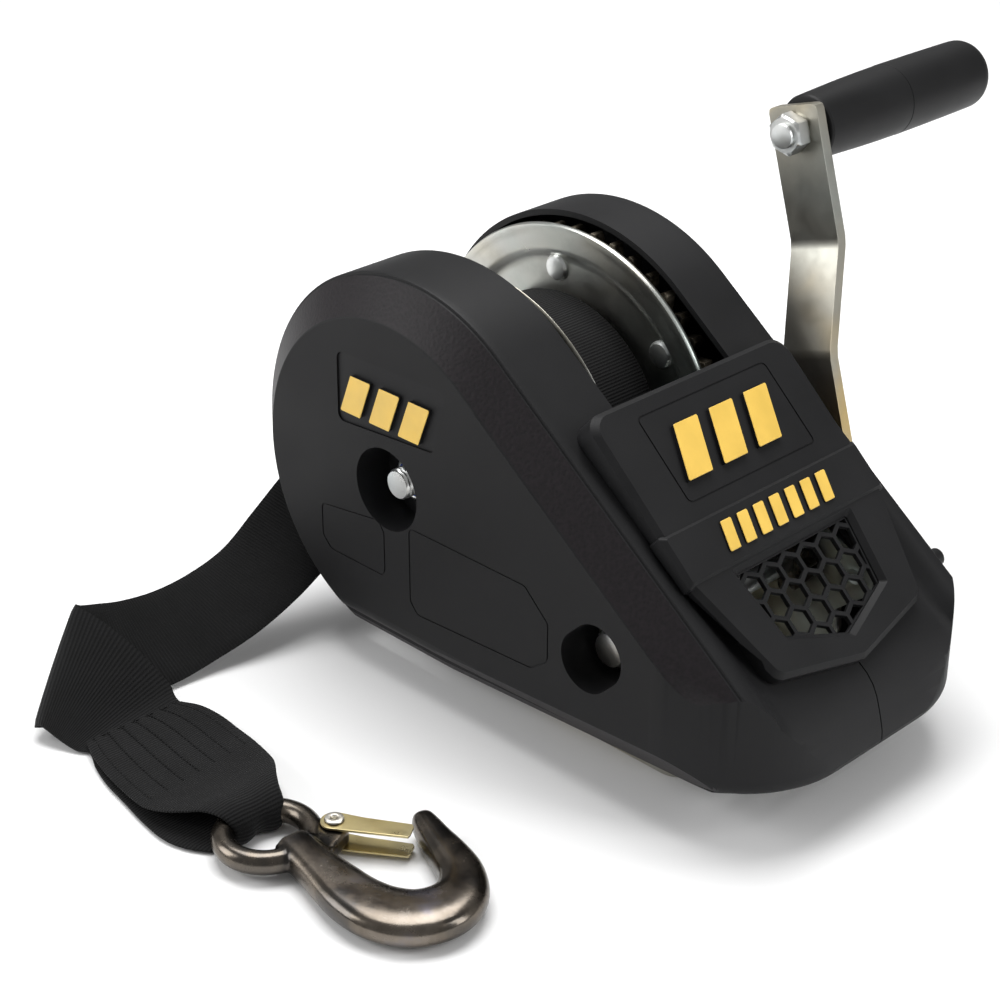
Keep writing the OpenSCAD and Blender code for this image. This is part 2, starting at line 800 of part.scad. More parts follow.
base_plate();
left_side_plate();
right_side_plate();
left_cover();
right_cover();
front_bezel();
bezel_mesh();
front_badge();
band_badge();
side_badge();
drum_bolt();
drum_nut();
drum_nut_insert();
drum_washers();
drum_spacers();
crank_bushes();
countershaft_bushes();
pawl_pin();
pawl_clip();
pawl_spring();
cover_screws();
strap();
strap_end();
hook_body();
latch_pin();
latch_spring();
drum_hub();
left_flange();
right_flange();
drum_gear();
drum_rivets();
drum_bushes();
strap_roll();
strap_anchor();
countershaft();
counter_gear();
counter_pinion();
counter_clips();
crank_shaft();
crank_pinion();
ratchet_wheel();
crank_spacer();
crank_arm();
crank_nut();
crank_washer();
shaft_lock_nut();
grip_bolt();
grip_nut();
grip();
grip_cap();
pawl();
pawl_lever();
lever_cap();
latch_gate();
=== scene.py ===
"""Boat trailer winch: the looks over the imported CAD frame.

Sizes are written in millimetres in the part's own frame and turned into metres by MM.
"""
import json
import math

import bmesh
import bpy
import numpy as np
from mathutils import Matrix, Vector


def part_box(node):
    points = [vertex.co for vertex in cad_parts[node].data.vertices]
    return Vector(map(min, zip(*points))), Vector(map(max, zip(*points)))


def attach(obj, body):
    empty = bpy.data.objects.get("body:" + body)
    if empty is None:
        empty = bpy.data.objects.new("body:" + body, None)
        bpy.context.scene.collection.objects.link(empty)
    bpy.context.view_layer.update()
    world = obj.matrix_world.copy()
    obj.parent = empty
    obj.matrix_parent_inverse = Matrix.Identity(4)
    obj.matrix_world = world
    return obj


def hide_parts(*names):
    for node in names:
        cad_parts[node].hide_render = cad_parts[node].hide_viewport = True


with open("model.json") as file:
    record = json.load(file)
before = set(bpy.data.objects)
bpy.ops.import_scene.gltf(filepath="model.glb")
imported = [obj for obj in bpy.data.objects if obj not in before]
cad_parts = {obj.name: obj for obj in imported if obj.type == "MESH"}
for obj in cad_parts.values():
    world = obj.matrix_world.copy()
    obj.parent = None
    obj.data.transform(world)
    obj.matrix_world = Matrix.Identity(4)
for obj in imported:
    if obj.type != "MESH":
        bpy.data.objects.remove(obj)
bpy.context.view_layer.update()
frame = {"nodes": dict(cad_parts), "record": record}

MM = 0.001
TAU = 2 * math.pi


# ---- places taken from the frame, in millimetres ----
def centre(node):
    low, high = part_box(node)
    return (low + high) / 2 / MM


def reach(node, axis):
    low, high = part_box(node)
    return low[axis] / MM, high[axis] / MM


DRUM = centre("drum_bolt")
CRANK = centre("crank_shaft")
GRIP = centre("grip")
EYE = Vector((-5, -221, 8))
LATCH = centre("latch_pin")
TOP_LEAN = math.radians(53)
BEZEL_LEAN = math.radians(47.6)
BEZEL_D = 121
CREST_R = 102
COVER_Y = 90


def linked(name, data):
    """A new object in the scene."""
    made = bpy.data.objects.new(name, data)
    bpy.context.collection.objects.link(made)
    return made


# ---- camera ----
camera_data = bpy.data.cameras.new("camera")
camera_data.lens = 79.88
camera_data.sensor_width = 36
camera = linked("camera", camera_data)
camera.location = (0.6276, -0.7027, 0.5852)
camera.rotation_euler = (math.radians(62.4), 0, math.radians(45.4))
bpy.context.scene.camera = camera


# ---- node helpers ----
class Nodes:
    """Short calls for building a node tree."""

    def __init__(self, tree):
        self.tree = tree

    def add(self, kind, inputs=(), **settings):
        node = self.tree.nodes.new(kind)
        for key, value in settings.items():
            setattr(node, key, value)
        for key, value in dict(inputs).items():
            if isinstance(value, bpy.types.NodeSocket):
                self.tree.links.new(value, node.inputs[key])
            else:
                node.inputs[key].default_value = value
        return node

    def math(self, operation, a, b=0.0):
        return self.add("ShaderNodeMath", {0: a, 1: b}, operation=operation).outputs[0]

    def noise(self, scale, detail, vector, rough=0.5):
        inputs = {"Scale": scale, "Detail": detail, "Vector": vector, "Roughness": rough}
        return self.add("ShaderNodeTexNoise", inputs).outputs[0]

    def ramp(self, factor, stops):
        node = self.add("ShaderNodeValToRGB", {0: factor})
        elements = node.color_ramp.elements
        while len(elements) < len(stops):
            elements.new(0.5)
        for element, (place, colour) in zip(elements, stops):
            element.position = place
            element.color = (*colour, 1)
        return node.outputs[0]

    def grey(self, factor, low, high, start=0.3, end=0.7):
        return self.ramp(factor, [(start, (low,) * 3), (end, (high,) * 3)])

    def mix(self, factor, a, b):
        return self.add("ShaderNodeMix", {0: factor, 6: a, 7: b}, data_type="RGBA").outputs[2]

    def bump(self, height, strength, distance):
        inputs = {"Height": height, "Strength": strength, "Distance": distance}
        return self.add("ShaderNodeBump", inputs).outputs[0]

    def place(self):
        return self.add("ShaderNodeTexCoord").outputs["Object"]


def material(name, colour, roughness, metallic=0.0, **uniform):
    """A material with its shader, ready for textures; uniform values go on the shader's own sockets."""
    made = bpy.data.materials.new(name)
    made.use_nodes = True
    made.diffuse_color = (*colour, 1)
    nodes = Nodes(made.node_tree)
    shader = made.node_tree.nodes["Principled BSDF"]
    shader.inputs["Base Color"].default_value = (*colour, 1)
    shader.inputs["Roughness"].default_value = roughness
    shader.inputs["Metallic"].default_value = metallic
    for key, value in uniform.items():
        shader.inputs[key.replace("_", " ")].default_value = value
    return made, nodes, shader


def link(nodes, output, shader, socket):
    nodes.tree.links.new(output, shader.inputs[socket])


# ---- materials ----
def plastic(name, colour, roughness, grain, depth):
    """Moulded plastic: a fine spark-eroded grain, with soft cloudy wear in its roughness."""
    made, n, shader = material(name, colour, roughness, Specular_IOR_Level=0.2)
    where = n.place()
    cloud = n.noise(22, 4, where)
    light = tuple(c * 1.5 for c in colour)
    link(n, n.ramp(cloud, [(0.35, colour), (0.75, light)]), shader, "Base Color")
    fine = n.noise(grain, 3, where, 0.65)
    rough = n.math("ADD", n.grey(cloud, roughness - 0.05, roughness + 0.07), n.math("MULTIPLY", fine, 0.06))
    link(n, rough, shader, "Roughness")
    link(n, n.bump(fine, 0.35, depth), shader, "Normal")
    return made


def leather(name, colour, roughness):
    """The coarser leather-like texture on the sloping shoulder of a cover."""
    made, n, shader = material(name, colour, roughness, Specular_IOR_Level=0.24)
    where = n.place()
    cell = n.add("ShaderNodeTexVoronoi", {"Vector": where, "Scale": 620.0}, feature="SMOOTH_F1").outputs[0]
    fine = n.noise(1900, 3, where, 0.7)
    height = n.math("ADD", cell, n.math("MULTIPLY", fine, 0.5))
    tint = tuple(c * k for c, k in zip(colour, (2.1, 1.8, 1.95)))
    link(n, n.ramp(height, [(0.25, colour), (0.95, tint)]), shader, "Base Color")
    link(n, n.bump(height, 0.55, 0.00022), shader, "Normal")
    return made


def zinc(name, colour, warm, cool, roughness, grain=700, streak=(1, 1, 1), marks=0.5):
    """Bright zinc plate: slightly rainbow-tinted, cloudy, with fine scratches and pits."""
    made, n, shader = material(name, colour, roughness, 1.0)
    where = n.place()
    stretched = n.add("ShaderNodeMapping", {"Vector": where, "Scale": streak}).outputs[0]
    cloud = n.noise(34, 5, where, 0.6)
    patch = n.noise(11, 3, where)
    hue = n.ramp(patch, [(0.34, cool), (0.5, colour), (0.66, warm)])
    dull = n.mix(n.grey(cloud, 0.0, marks, 0.45, 0.75), hue, (*(c * 0.55 for c in colour), 1))
    link(n, dull, shader, "Base Color")
    fine = n.noise(grain, 3, stretched, 0.7)
    rough = n.math("ADD", n.grey(cloud, roughness - 0.06, roughness + 0.12), n.math("MULTIPLY", fine, 0.1))
    link(n, rough, shader, "Roughness")
    link(n, n.bump(fine, 0.25, 0.00006), shader, "Normal")
    return made


def grease(name):
    """Machined steel under dark grease that gathers in patches."""
    made, n, shader = material(name, (0.12, 0.1, 0.08), 0.4, 0.8, Coat_Weight=0.35, Coat_Roughness=0.25)
    where = n.place()
    patch = n.noise(120, 5, where, 0.65)
    stops = [(0.38, (0.012, 0.01, 0.009)), (0.5, (0.08, 0.065, 0.045)), (0.68, (0.32, 0.28, 0.22))]
    link(n, n.ramp(patch, stops), shader, "Base Color")
    link(n, n.grey(patch, 0.28, 0.6), shader, "Roughness")
    link(n, n.bump(patch, 0.4, 0.0004), shader, "Normal")
    return made


def woven(name, colour, pitch, rib):
    """Ribbed webbing: ribs across and a fine weave, laid out by the strap's own length and width."""
    made, n, shader = material(
        name, colour, 0.8, Sheen_Weight=0.05, Sheen_Roughness=0.4, Specular_IOR_Level=0.2,
    )
    uv = n.add("ShaderNodeUVMap", uv_map="strap").outputs[0]
    parts = n.add("ShaderNodeSeparateXYZ", {0: uv})
    along, across = parts.outputs[0], parts.outputs[1]
    wave = n.math("SINE", n.math("MULTIPLY", along, TAU / pitch))
    weave = n.math("SINE", n.math("MULTIPLY", across, TAU / (pitch * 0.55)))
    twill = n.math("MULTIPLY", n.math("SINE", n.math("MULTIPLY", along, TAU / pitch * 2)), weave)
    fuzz = n.noise(1500, 3, n.place(), 0.7)
    ribs = n.math("ADD", n.math("MULTIPLY", wave, 0.5), n.math("MULTIPLY", twill, 0.28))
    height = n.math("ADD", ribs, fuzz)
    cloud = n.noise(40, 4, n.place())
    # Colour from the ribs' height and a random cloud: painted shade in the rib and weave hollows, a painted
    # highlight on their crests, and a real uneven tone from the cloud
    shade = n.math("ADD", n.math("MULTIPLY", height, 0.3), n.math("MULTIPLY", cloud, 0.6))
    dark, light = tuple(c * 0.5 for c in colour), tuple(c * 2.4 for c in colour)
    link(n, n.ramp(shade, [(0.25, dark), (0.5, colour), (0.85, light)]), shader, "Base Color")
    link(n, n.bump(height, 0.8, rib), shader, "Normal")
    return made


def forged(name):
    """Dark iridescent zinc over forged steel: near black, brown and rainbow-tinted where it is worn."""
    made, n, shader = material(name, (0.11, 0.1, 0.095), 0.3, 1.0)
    where = n.place()
    cloud = n.noise(38, 5, where, 0.62)
    patch = n.noise(26, 3, where)
    stops = [
        (0.30, (0.03, 0.034, 0.042)), (0.43, (0.05, 0.047, 0.045)), (0.5, (0.1, 0.085, 0.07)),
        (0.58, (0.16, 0.14, 0.12)), (0.66, (0.17, 0.16, 0.185)), (0.74, (0.24, 0.19, 0.12)),
    ]
    hue = n.ramp(n.math("ADD", n.math("MULTIPLY", patch, 0.6), n.math("MULTIPLY", cloud, 0.4)), stops)
    edge = n.add("ShaderNodeNewGeometry").outputs["Pointiness"]
    worn = n.grey(edge, 0.0, 0.75, 0.5, 0.56)
    link(n, n.mix(worn, hue, (0.42, 0.36, 0.29, 1)), shader, "Base Color")
    pit = n.noise(520, 3, where, 0.7)
    link(n, n.math("ADD", n.grey(cloud, 0.15, 0.3), n.math("MULTIPLY", pit, 0.08)), shader, "Roughness")
    link(n, n.bump(pit, 0.3, 0.0001), shader, "Normal")
    return made


def paint(name, colour):
    made, n, shader = material(name, colour, 0.42, 0.0, Coat_Weight=0.15, Coat_Roughness=0.3)
    where = n.place()
    cloud = n.noise(60, 4, where)
    link(n, n.ramp(cloud, [(0.3, tuple(c * 0.86 for c in colour)), (0.7, colour)]), shader, "Base Color")
    link(n, n.grey(cloud, 0.36, 0.5), shader, "Roughness")
    link(n, n.bump(n.noise(1600, 2, where), 0.25, 0.00005), shader, "Normal")
    return made


BLACK = (0.0072, 0.0072, 0.0078)
COVER = plastic("cover_plastic", BLACK, 0.5, 1500, 0.00012)
PANEL = plastic("panel_plastic", (0.0078, 0.0077, 0.0082), 0.56, 1300, 0.00016)
SHOULDER = leather("shoulder_plastic", (0.0055, 0.0048, 0.0054), 0.5)
GRIP_SKIN = plastic("grip_plastic", (0.0062, 0.0062, 0.0066), 0.46, 1700, 0.00008)
GOLD = paint("gold_paint", (0.86, 0.56, 0.095))
ZINC = zinc("zinc_plate", (0.50, 0.50, 0.47), (0.56, 0.51, 0.39), (0.44, 0.49, 0.47), 0.27)
ARM_ZINC = zinc("arm_zinc", (0.42, 0.40, 0.34), (0.58, 0.44, 0.21), (0.36, 0.38, 0.36), 0.3, 500, (1, 1, 0.2))
FASTENER = zinc("zinc_fastener", (0.72, 0.72, 0.7), (0.76, 0.7, 0.58), (0.64, 0.7, 0.72), 0.24, 900)
NYLON = plastic("nylon_blue", (0.02, 0.07, 0.34), 0.32, 900, 0.00004)
GREASE = grease("greased_steel")
BRONZE = zinc("sintered_bronze", (0.5, 0.33, 0.15), (0.58, 0.4, 0.18), (0.42, 0.3, 0.16), 0.42, 1400)
WEBBING = woven("webbing", (0.0046, 0.0046, 0.0049), 0.0016, 0.00035)
HOOK = forged("hook_steel")
BRASS = zinc("latch_zinc", (0.5, 0.44, 0.27), (0.62, 0.5, 0.22), (0.38, 0.4, 0.34), 0.27, 600, (1, 1, 1), 0.4)

SLOT_LOOKS = {
    "black_plastic": COVER, "gold_paint": GOLD, "grip_rubber": GRIP_SKIN, "lever_black": GRIP_SKIN,
    "zinc_plate": ZINC, "zinc_fastener": FASTENER, "nylon_blue": NYLON, "greased_steel": GREASE,
    "bronze": BRONZE, "webbing": WEBBING, "hook_steel": HOOK, "latch_brass": BRASS,
}


# ---- mesh helpers ----
def make(name, verts, faces, *looks):
    """A mesh object from points in millimetres."""
    mesh = bpy.data.meshes.new(name)
    mesh.from_pydata([Vector(v) * MM for v in verts], [], faces)
    mesh.update()
    for look in looks:
        mesh.materials.append(look)
    return linked(name, mesh)


def evaluated(piece):
    """A new mesh of the piece as its modifiers leave it."""
    bpy.context.view_layer.update()
    return bpy.data.meshes.new_from_object(piece.evaluated_get(bpy.context.evaluated_depsgraph_get()))


def apply(piece):
    """Puts the piece's modifiers into its mesh."""
    mesh = evaluated(piece)
    piece.modifiers.clear()
    piece.data = mesh
    return piece


def modify(piece, kind, **settings):
    added = piece.modifiers.new(kind.lower(), kind)
    for key, value in settings.items():
        setattr(added, key, value)


# Points closer than these are joined, in metres: on lofts, on fine round pieces and after cuts
GAP = 0.00002
FINE_GAP = 0.000001
CUT_GAP = 0.00003


def tidy_mesh(piece, gap=GAP):
    """Turns the faces outwards and joins points closer than gap; a gap of 0 joins none."""
    mesh = bmesh.new()
    mesh.from_mesh(piece.data)
    if gap:
        bmesh.ops.remove_doubles(mesh, verts=mesh.verts, dist=gap)
        bmesh.ops.dissolve_degenerate(mesh, edges=mesh.edges, dist=gap / 2)
    bmesh.ops.recalc_face_normals(mesh, faces=mesh.faces)
    mesh.to_mesh(piece.data)
    mesh.free()
    return piece


def boolean(piece, operation, *others):
    for other in others:
        modify(piece, "BOOLEAN", object=other, operation=operation, solver="EXACT")
        apply(piece)
        bpy.data.objects.remove(other)
    return piece


def smooth(piece, angle=32):
    piece.data.shade_smooth()
    piece.data.set_sharp_from_angle(angle=math.radians(angle))
    return piece


def bevel(piece, width, angle):
    """Rounds the edges sharper than angle by width, in millimetres."""
    modify(
        piece, "BEVEL", width=width * MM, segments=2, limit_method="ANGLE",
        angle_limit=math.radians(angle), use_clamp_overlap=True,
    )


def soften(piece, width, angle=35):
    """Rounds the edges and shades the piece smooth."""
    bevel(piece, width, angle)
    apply(piece)
    smooth(piece)
    modify(piece, "WEIGHTED_NORMAL", weight=60, keep_sharp=True)
    return apply(piece)


def finish(piece, body, slot, *nodes):
    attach(piece, body)
    if nodes:
        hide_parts(*nodes)
    return piece


def loft(rings, ends=True):
    """Faces between rings of equal length, with flat ends if asked."""
    count = len(rings[0])
    verts = [p for ring in rings for p in ring]
    faces = []
    for i in range(len(rings) - 1):
        for j in range(count):
            k = (j + 1) % count
            faces.append((i * count + j, i * count + k, (i + 1) * count + k, (i + 1) * count + j))
    if ends:
        faces.append(tuple(reversed(range(count))))
        faces.append(tuple(range((len(rings) - 1) * count, len(rings) * count)))
    return verts, faces


def joined(parts):
    """The points and faces of several lofts as one."""
    verts, faces = [], []
    for more_verts, more_faces in parts:
        faces += [tuple(k + len(verts) for k in face) for face in more_faces]
        verts += more_verts
    return verts, faces


def rounded(corners, radii, steps=6):
    """A closed outline whose corners are arcs of the given radii."""
    points = []
    count = len(corners)
    for i, corner in enumerate(corners):
        radius = radii[i] if isinstance(radii, (list, tuple)) else radii
        here = Vector(corner)
        back = (Vector(corners[i - 1]) - here).normalized()
        ahead = (Vector(corners[(i + 1) % count]) - here).normalized()
        if radius <= 0:
            points.append(tuple(here))
            continue
        half = math.acos(max(-1, min(1, back.dot(ahead)))) / 2
        cut = radius / math.tan(half)
        start, end = here + back * cut, here + ahead * cut
        middle = here + (back + ahead).normalized() * (radius / math.sin(half))
        first = math.atan2(*reversed(start - middle))
        turn = math.atan2(*reversed(end - middle)) - first
        turn = (turn + math.pi) % TAU - math.pi
        for k in range(steps + 1):
            a = first + turn * k / steps
            points.append((middle[0] + radius * math.cos(a), middle[1] + radius * math.sin(a)))
    return points


def drawn_in(points, amount):
    """A convex outline moved inwards by amount."""
    moved = []
    count = len(points)
    for i in range(count):
        here = Vector(points[i])
        back = (here - Vector(points[i - 1])).normalized()
        ahead = (Vector(points[(i + 1) % count]) - here).normalized()
        normal = (Vector((-back.y, back.x)) + Vector((-ahead.y, ahead.x))).normalized()
        cosine = normal.dot(Vector((-back.y, back.x)))
        moved.append(tuple(here + normal * amount / cosine))
    return moved


def angles(steps):
    return [TAU * i / steps for i in range(steps)]


def circle(x, z, radius, steps):
    return [(x + radius * math.cos(a), z + radius * math.sin(a)) for a in angles(steps)]


def ring_y(at, radius, y, steps):
    """A circle around the Y axis through at."""
    return [(x, y, z) for x, z in circle(at.x, at.z, radius, steps)]


def prism_y(name, outline, y0, y1):
    """An X-Z outline from y0 to y1."""
    return tidy_mesh(make(name, *loft([[(x, y, z) for x, z in outline] for y in (y0, y1)]), COVER))


def on_slope(y, s, d, lean=BEZEL_LEAN):
    """The point across y, s down the slope and d out from the drum's axis."""
    x = DRUM.x + d * math.cos(lean) + s * math.sin(lean)
    z = DRUM.z + d * math.sin(lean) - s * math.cos(lean)
    return x, y, z


def slope_prism(name, outline, d0, d1, lean=BEZEL_LEAN):
    """An outline on the slope from d0 to d1."""
    rings = [[on_slope(y, s, d, lean) for y, s in outline] for d in (d0, d1)]
    return tidy_mesh(make(name, *loft(rings), COVER))


def turned(name, profile, at, steps, look):
    """A profile of (radius, y) turned around the Y axis through at; it may start and end on the axis."""
    rings = [ring_y(at, radius, y, steps) for radius, y in profile]
    return tidy_mesh(make(name, *loft(rings), look), FINE_GAP)


def spline(points, i, t):
    """A place a share t of the way from point i to the next, on a Catmull-Rom curve."""
    last = len(points) - 1
    a, b, c, d = (Vector(points[max(0, min(last, k))]) for k in (i - 1, i, i + 1, i + 2))
    return b + 0.5 * ((c - a) * t + (2 * a - 5 * b + 4 * c - d) * t * t + (3 * b - a - 3 * c + d) * t ** 3)


def resample(points, steps):
    places = [spline(points, i, k / steps) for i in range(len(points) - 1) for k in range(steps)]
    return places + [Vector(points[-1])]


# ---- strap ----
# One point on each edge, from the roll to the sewn end; the first twenty are the CAD strap's own.
ROUTE = [
    ((-139, 31, 106), (-139, -20, 106)), ((-140, 30, 92), (-140, -20, 94)),
    ((-146, 27, 74), (-151, -19, 94)), ((-153, 18, 58), (-164, -18, 93)),
    ((-157, 5, 46), (-174, -23, 85)), ((-155, -14, 41), (-180, -41, 77)),
    ((-149, -38, 36), (-180, -63, 66)), ((-142, -64, 30), (-179, -85, 52)),
    ((-136, -92, 22), (-180, -105, 37)), ((-135, -120, 13), (-180, -127, 31)),
    ((-138, -145, 6), (-181, -148, 29)), ((-140, -170, 2), (-182, -168, 31)),
    ((-144, -198, 2), (-184, -182, 34)), ((-148, -228, 2), (-185, -190, 36)),
    ((-151, -242, 5), (-185, -193, 38)), ((-146, -243, 9), (-181, -194, 39)),
    ((-141, -242, 8), (-173, -189, 34)), ((-134, -240, 5), (-158, -181, 22)),
    ((-126, -237, 2), (-140, -174, 6)), ((-120, -234, 2), (-128, -177, 2)),
    ((-108, -239, 1.7), (-111, -178, 1.7)), ((-94, -243, 1.6), (-95, -180, 1.6)),
    ((-76, -246, 1.6), (-77, -184, 1.6)), ((-58, -249, 1.6), (-60, -189, 1.6)),
    ((-42, -250, 1.6), (-44, -196, 1.6)), ((-30, -247, 1.6), (-32, -203, 1.6)),
    ((-20, -241, 1.6), (-22, -208, 1.6)),
]
# The flap that comes back over the eye and is sewn down
FLAP = [
    ((-125, -232, 4.3), (-122, -180, 4.8)), ((-112, -237, 4.4), (-112, -175, 4.9)),
    ((-96, -241, 4.6), (-98, -174, 5.4)), ((-78, -244, 5.2), (-82, -176, 6.4)),
    ((-62, -246, 7), (-66, -179, 8.5)), ((-49, -245, 10.5), (-52, -183, 11)),
    ((-38, -241, 14.0), (-40, -188, 14.0)), ((-30, -237, 16.4), (-30, -195, 16.6)),
    ((-22, -234, 16.4), (-21, -201, 16.8)), ((-16.5, -232, 13.0), (-14.5, -204, 13.5)),
    ((-14.5, -231, 8), (-12.5, -206, 8)), ((-15.5, -233, 3.2), (-13.5, -207, 3.2)),
    ((-20, -237, 1.9), (-19, -208, 1.9)),
]
STRAP_T = 1.9
STRAP_STEPS = 6


def edges(rungs):
    return [resample([rung[side] for rung in rungs], STRAP_STEPS) for side in (0, 1)]


def webbing(name, rungs, ripple, across=16):
    """A flat strap between two edges, with its length and width as the strap's texture coordinates."""
    edge_a, edge_b = edges(rungs)
    middle = [(a + b) / 2 for a, b in zip(edge_a, edge_b)]
    rings, lengths, travelled = [], [], 0.0
    for i, (a, b) in enumerate(zip(edge_a, edge_b)):
        run = middle[min(i + 1, len(middle) - 1)] - middle[max(i - 1, 0)]
        normal = run.cross(a - b).normalized()
        if i:
            travelled += (middle[i] - middle[i - 1]).length
        lengths.append(travelled)
        top, bottom = [], []
        for k in range(across + 1):
            v = k / across
            edge = min(v, 1 - v) * (a - b).length
            half = STRAP_T / 2 * math.sqrt(min(1, (edge + 0.15) / 0.9))
            point = a.lerp(b, v) + normal * ripple(i / (len(middle) - 1), v)
            top.append(point + normal * half)
            bottom.append(point - normal * half)
        rings.append(top + list(reversed(bottom)))
    made = make(name, *loft(rings), WEBBING)
    uv = made.data.uv_layers.new(name="strap")
    count = len(rings[0])
    for loop in made.data.loops:
        ring, place = divmod(loop.vertex_index, count)
        side = place if place <= across else count - 1 - place
        width = (edge_a[ring] - edge_b[ring]).length
        uv.data[loop.index].uv = (lengths[ring] * MM, side / across * width * MM)
    return smooth(tidy_mesh(made, 0), 60), middle


def strap_ripple(t, v):
    """Slight cupping with a soft wave along the free edge, and none near the sewn end."""
    if t >= 0.74:
        return 0.0
    t *= 1.35
    return 0.5 * math.sin(TAU * 3 * t) * (v - 0.5) + 0.9 * (4 * (v - 0.5) ** 2 - 0.5) * math.sin(math.pi * t)


def flap_ripple(t, v):
    """Stitched rows pull the flap down at the start, and it bunches towards the eye."""
    rows = 0.28 * math.sin(TAU * 6.5 * v) * max(0.0, 1 - t / 0.45)
    folds = 1.1 * math.sin(TAU * (1.6 * v + 0.35)) * max(0.0, t - 0.4) * 1.6
    return rows + folds


strap, strap_line = webbing("strap_webbing", ROUTE, strap_ripple)
finish(strap, "frame", "webbing", "strap")
flap, _ = webbing("strap_flap", FLAP, flap_ripple, 24)
finish(flap, "frame", "webbing", "strap_end")


# ---- stitching ----
def thread(line, radius=0.28):
    """A sewn thread: short raised stitches along a line."""
    up = Vector((0, 0, 1))
    stitches = []
    for start, end in zip(line, line[1:]):
        side = (end - start).normalized().cross(up).normalized()
        rings = []
        for t, scale in ((0.08, 0.3), (0.25, 0.9), (0.5, 1.0), (0.75, 0.9), (0.92, 0.3)):
            place = start.lerp(end, t)
            rings.append([
                place + radius * scale * (side * math.cos(a) + up * math.sin(a)) for a in angles(6)
            ])
        stitches.append(loft(rings))
    return joined(stitches)


def sewn_rows():
    """Seven rows along the flap, and one across its end."""
    edge_a, edge_b = edges(FLAP)
    sewn = 25

    def on_flap(i, v):
        lift = STRAP_T / 2 + 0.12 + flap_ripple(i / (len(edge_a) - 1), v)
        return edge_a[i].lerp(edge_b[i], v) + Vector((0, 0, lift))

    lines = [[on_flap(i, 0.08 + 0.84 * row / 6) for i in range(sewn)] for row in range(7)]
    lines.append([on_flap(1, k / 20) for k in range(1, 20)])
    made = make("strap_stitching", *joined([thread(line) for line in lines]), WEBBING)
    made.data.uv_layers.new(name="strap")
    return smooth(made, 80)


stitching = finish(sewn_rows(), "frame", "webbing")


# ---- hook ----
# Along the bow: x, y and half of its width
HOOK_LINE = [
    (8, -218, 9), (18, -219.5, 9.2), (30, -221, 10.2), (43, -222.5, 12), (56, -223.5, 13.5),
    (70, -221.5, 15), (82, -214, 15.5), (87, -202, 14.5), (84.5, -190, 12.2),
    (75, -180.5, 10.2), (63, -175.5, 9), (50, -171.5, 7.4), (40, -168, 6.2), (36, -166.4, 5.4),
]


def hook_mesh():
    """Eye ring and forged bow, joined by remeshing."""
    eye_r, wire_r = 19.5, 5.5
    eye = []
    for a in angles(72):
        eye.append([
            (EYE.x + out * math.cos(a), EYE.y + out * math.sin(a), EYE.z + up)
            for out, up in ((eye_r + x, z) for x, z in circle(0, 0, wire_r, 24))
        ])
    line = resample(HOOK_LINE, 6)
    bow = []
    for i, (x, y, w) in enumerate(line):
        ahead = line[min(i + 1, len(line) - 1)] - line[max(i - 1, 0)]
        side = Vector((-ahead.y, ahead.x, 0)).normalized()
        share = i / (len(line) - 1)
        high = 7.3 - 1.0 * max(0, share - 0.8) / 0.2
        section = []
        for a in angles(32):
            c, s = math.cos(a), math.sin(a)
            across = math.copysign(abs(c) ** 0.72, c) * w
            up = math.copysign(abs(s) ** 0.8, s) * high
            section.append(Vector((x, y, EYE.z)) + side * across + Vector((0, 0, up)))
        bow.append(section)
    tip, way = bow[-1], line[-1] - line[-3]
    way = Vector((way.x, way.y, 0)).normalized()
    middle = Vector((line[-1].x, line[-1].y, EYE.z))
    for out, scale in ((1.6, 0.94), (3.0, 0.78), (3.9, 0.5), (4.2, 0.2)):
        bow.append([middle + way * out + (p - middle) * scale for p in tip])
    corners = [(5, -205), (6.5, -196), (13, -191.5), (20, -195.5), (27, -213), (12, -216)]
    ear = rounded(corners, [3, 5, 5.5, 4, 3, 3])
    parts = [loft(eye + eye[:1], False), loft(bow), loft([[(x, y, z) for x, y in ear] for z in (4.2, 11.8)])]
    made = tidy_mesh(make("hook_forging", *joined(parts), HOOK))
    modify(made, "REMESH", mode="VOXEL", voxel_size=0.85 * MM, adaptivity=0)
    apply(made)
    made.data.materials.clear()
    made.data.materials.append(HOOK)
    modify(made, "SMOOTH", factor=0.5, iterations=10)
    apply(made)
    made.data.shade_smooth()
    return made


hook = finish(hook_mesh(), "frame", "hook_steel", "hook_body")


def latch_channel():
    """Pressed channel: two plates with round ears, a back web and a nose folded round the hook's tip."""
    length, turn = 34.5, math.radians(32)

    def place(x, y, z):
        return (
            LATCH.x + x * math.cos(turn) - y * math.sin(turn),
            LATCH.y + x * math.sin(turn) + y * math.cos(turn), z,
        )

    plate = [(6.2 * math.cos(a), 6.2 * math.sin(a)) for a in [math.radians(80 + 10 * k) for k in range(21)]]
    plate += [(length, -4.2), (length + 0.6, -2), (length + 0.6, 3.5), (length - 0.5, 5.2), (12, 5.2)]
    web = [(9, 4.0), (length - 9, 4.0), (length - 6, 2.9), (length - 0.5, 4.0), (length - 0.5, 5.2),
           (length - 6, 4.1), (length - 9, 5.2), (9, 5.2)]
    low_ear = [(3.4, 4.0), (6.4, 4.0), (6.4, 5.2), (3.4, 5.2)]
    parts = []
    for outline, low, high in ((plate, 2.2, 3.4), (plate, 12.6, 13.8), (web, 2.4, 13.6), (low_ear, 2.4, 8.0)):
        parts.append(loft([[place(x, y, z) for x, y in outline] for z in (low, high)]))
    made = tidy_mesh(make("latch_channel", *joined(parts), BRASS), FINE_GAP)
    hole = make("hole", *loft([[(x, y, z) for x, y in circle(LATCH.x, LATCH.y, 2.6, 32)] for z in (-2, 20)]))
    boolean(made, "DIFFERENCE", tidy_mesh(hole))
    return soften(made, 0.3, 30)


latch = finish(latch_channel(), "latch", "latch_brass", "latch_gate")


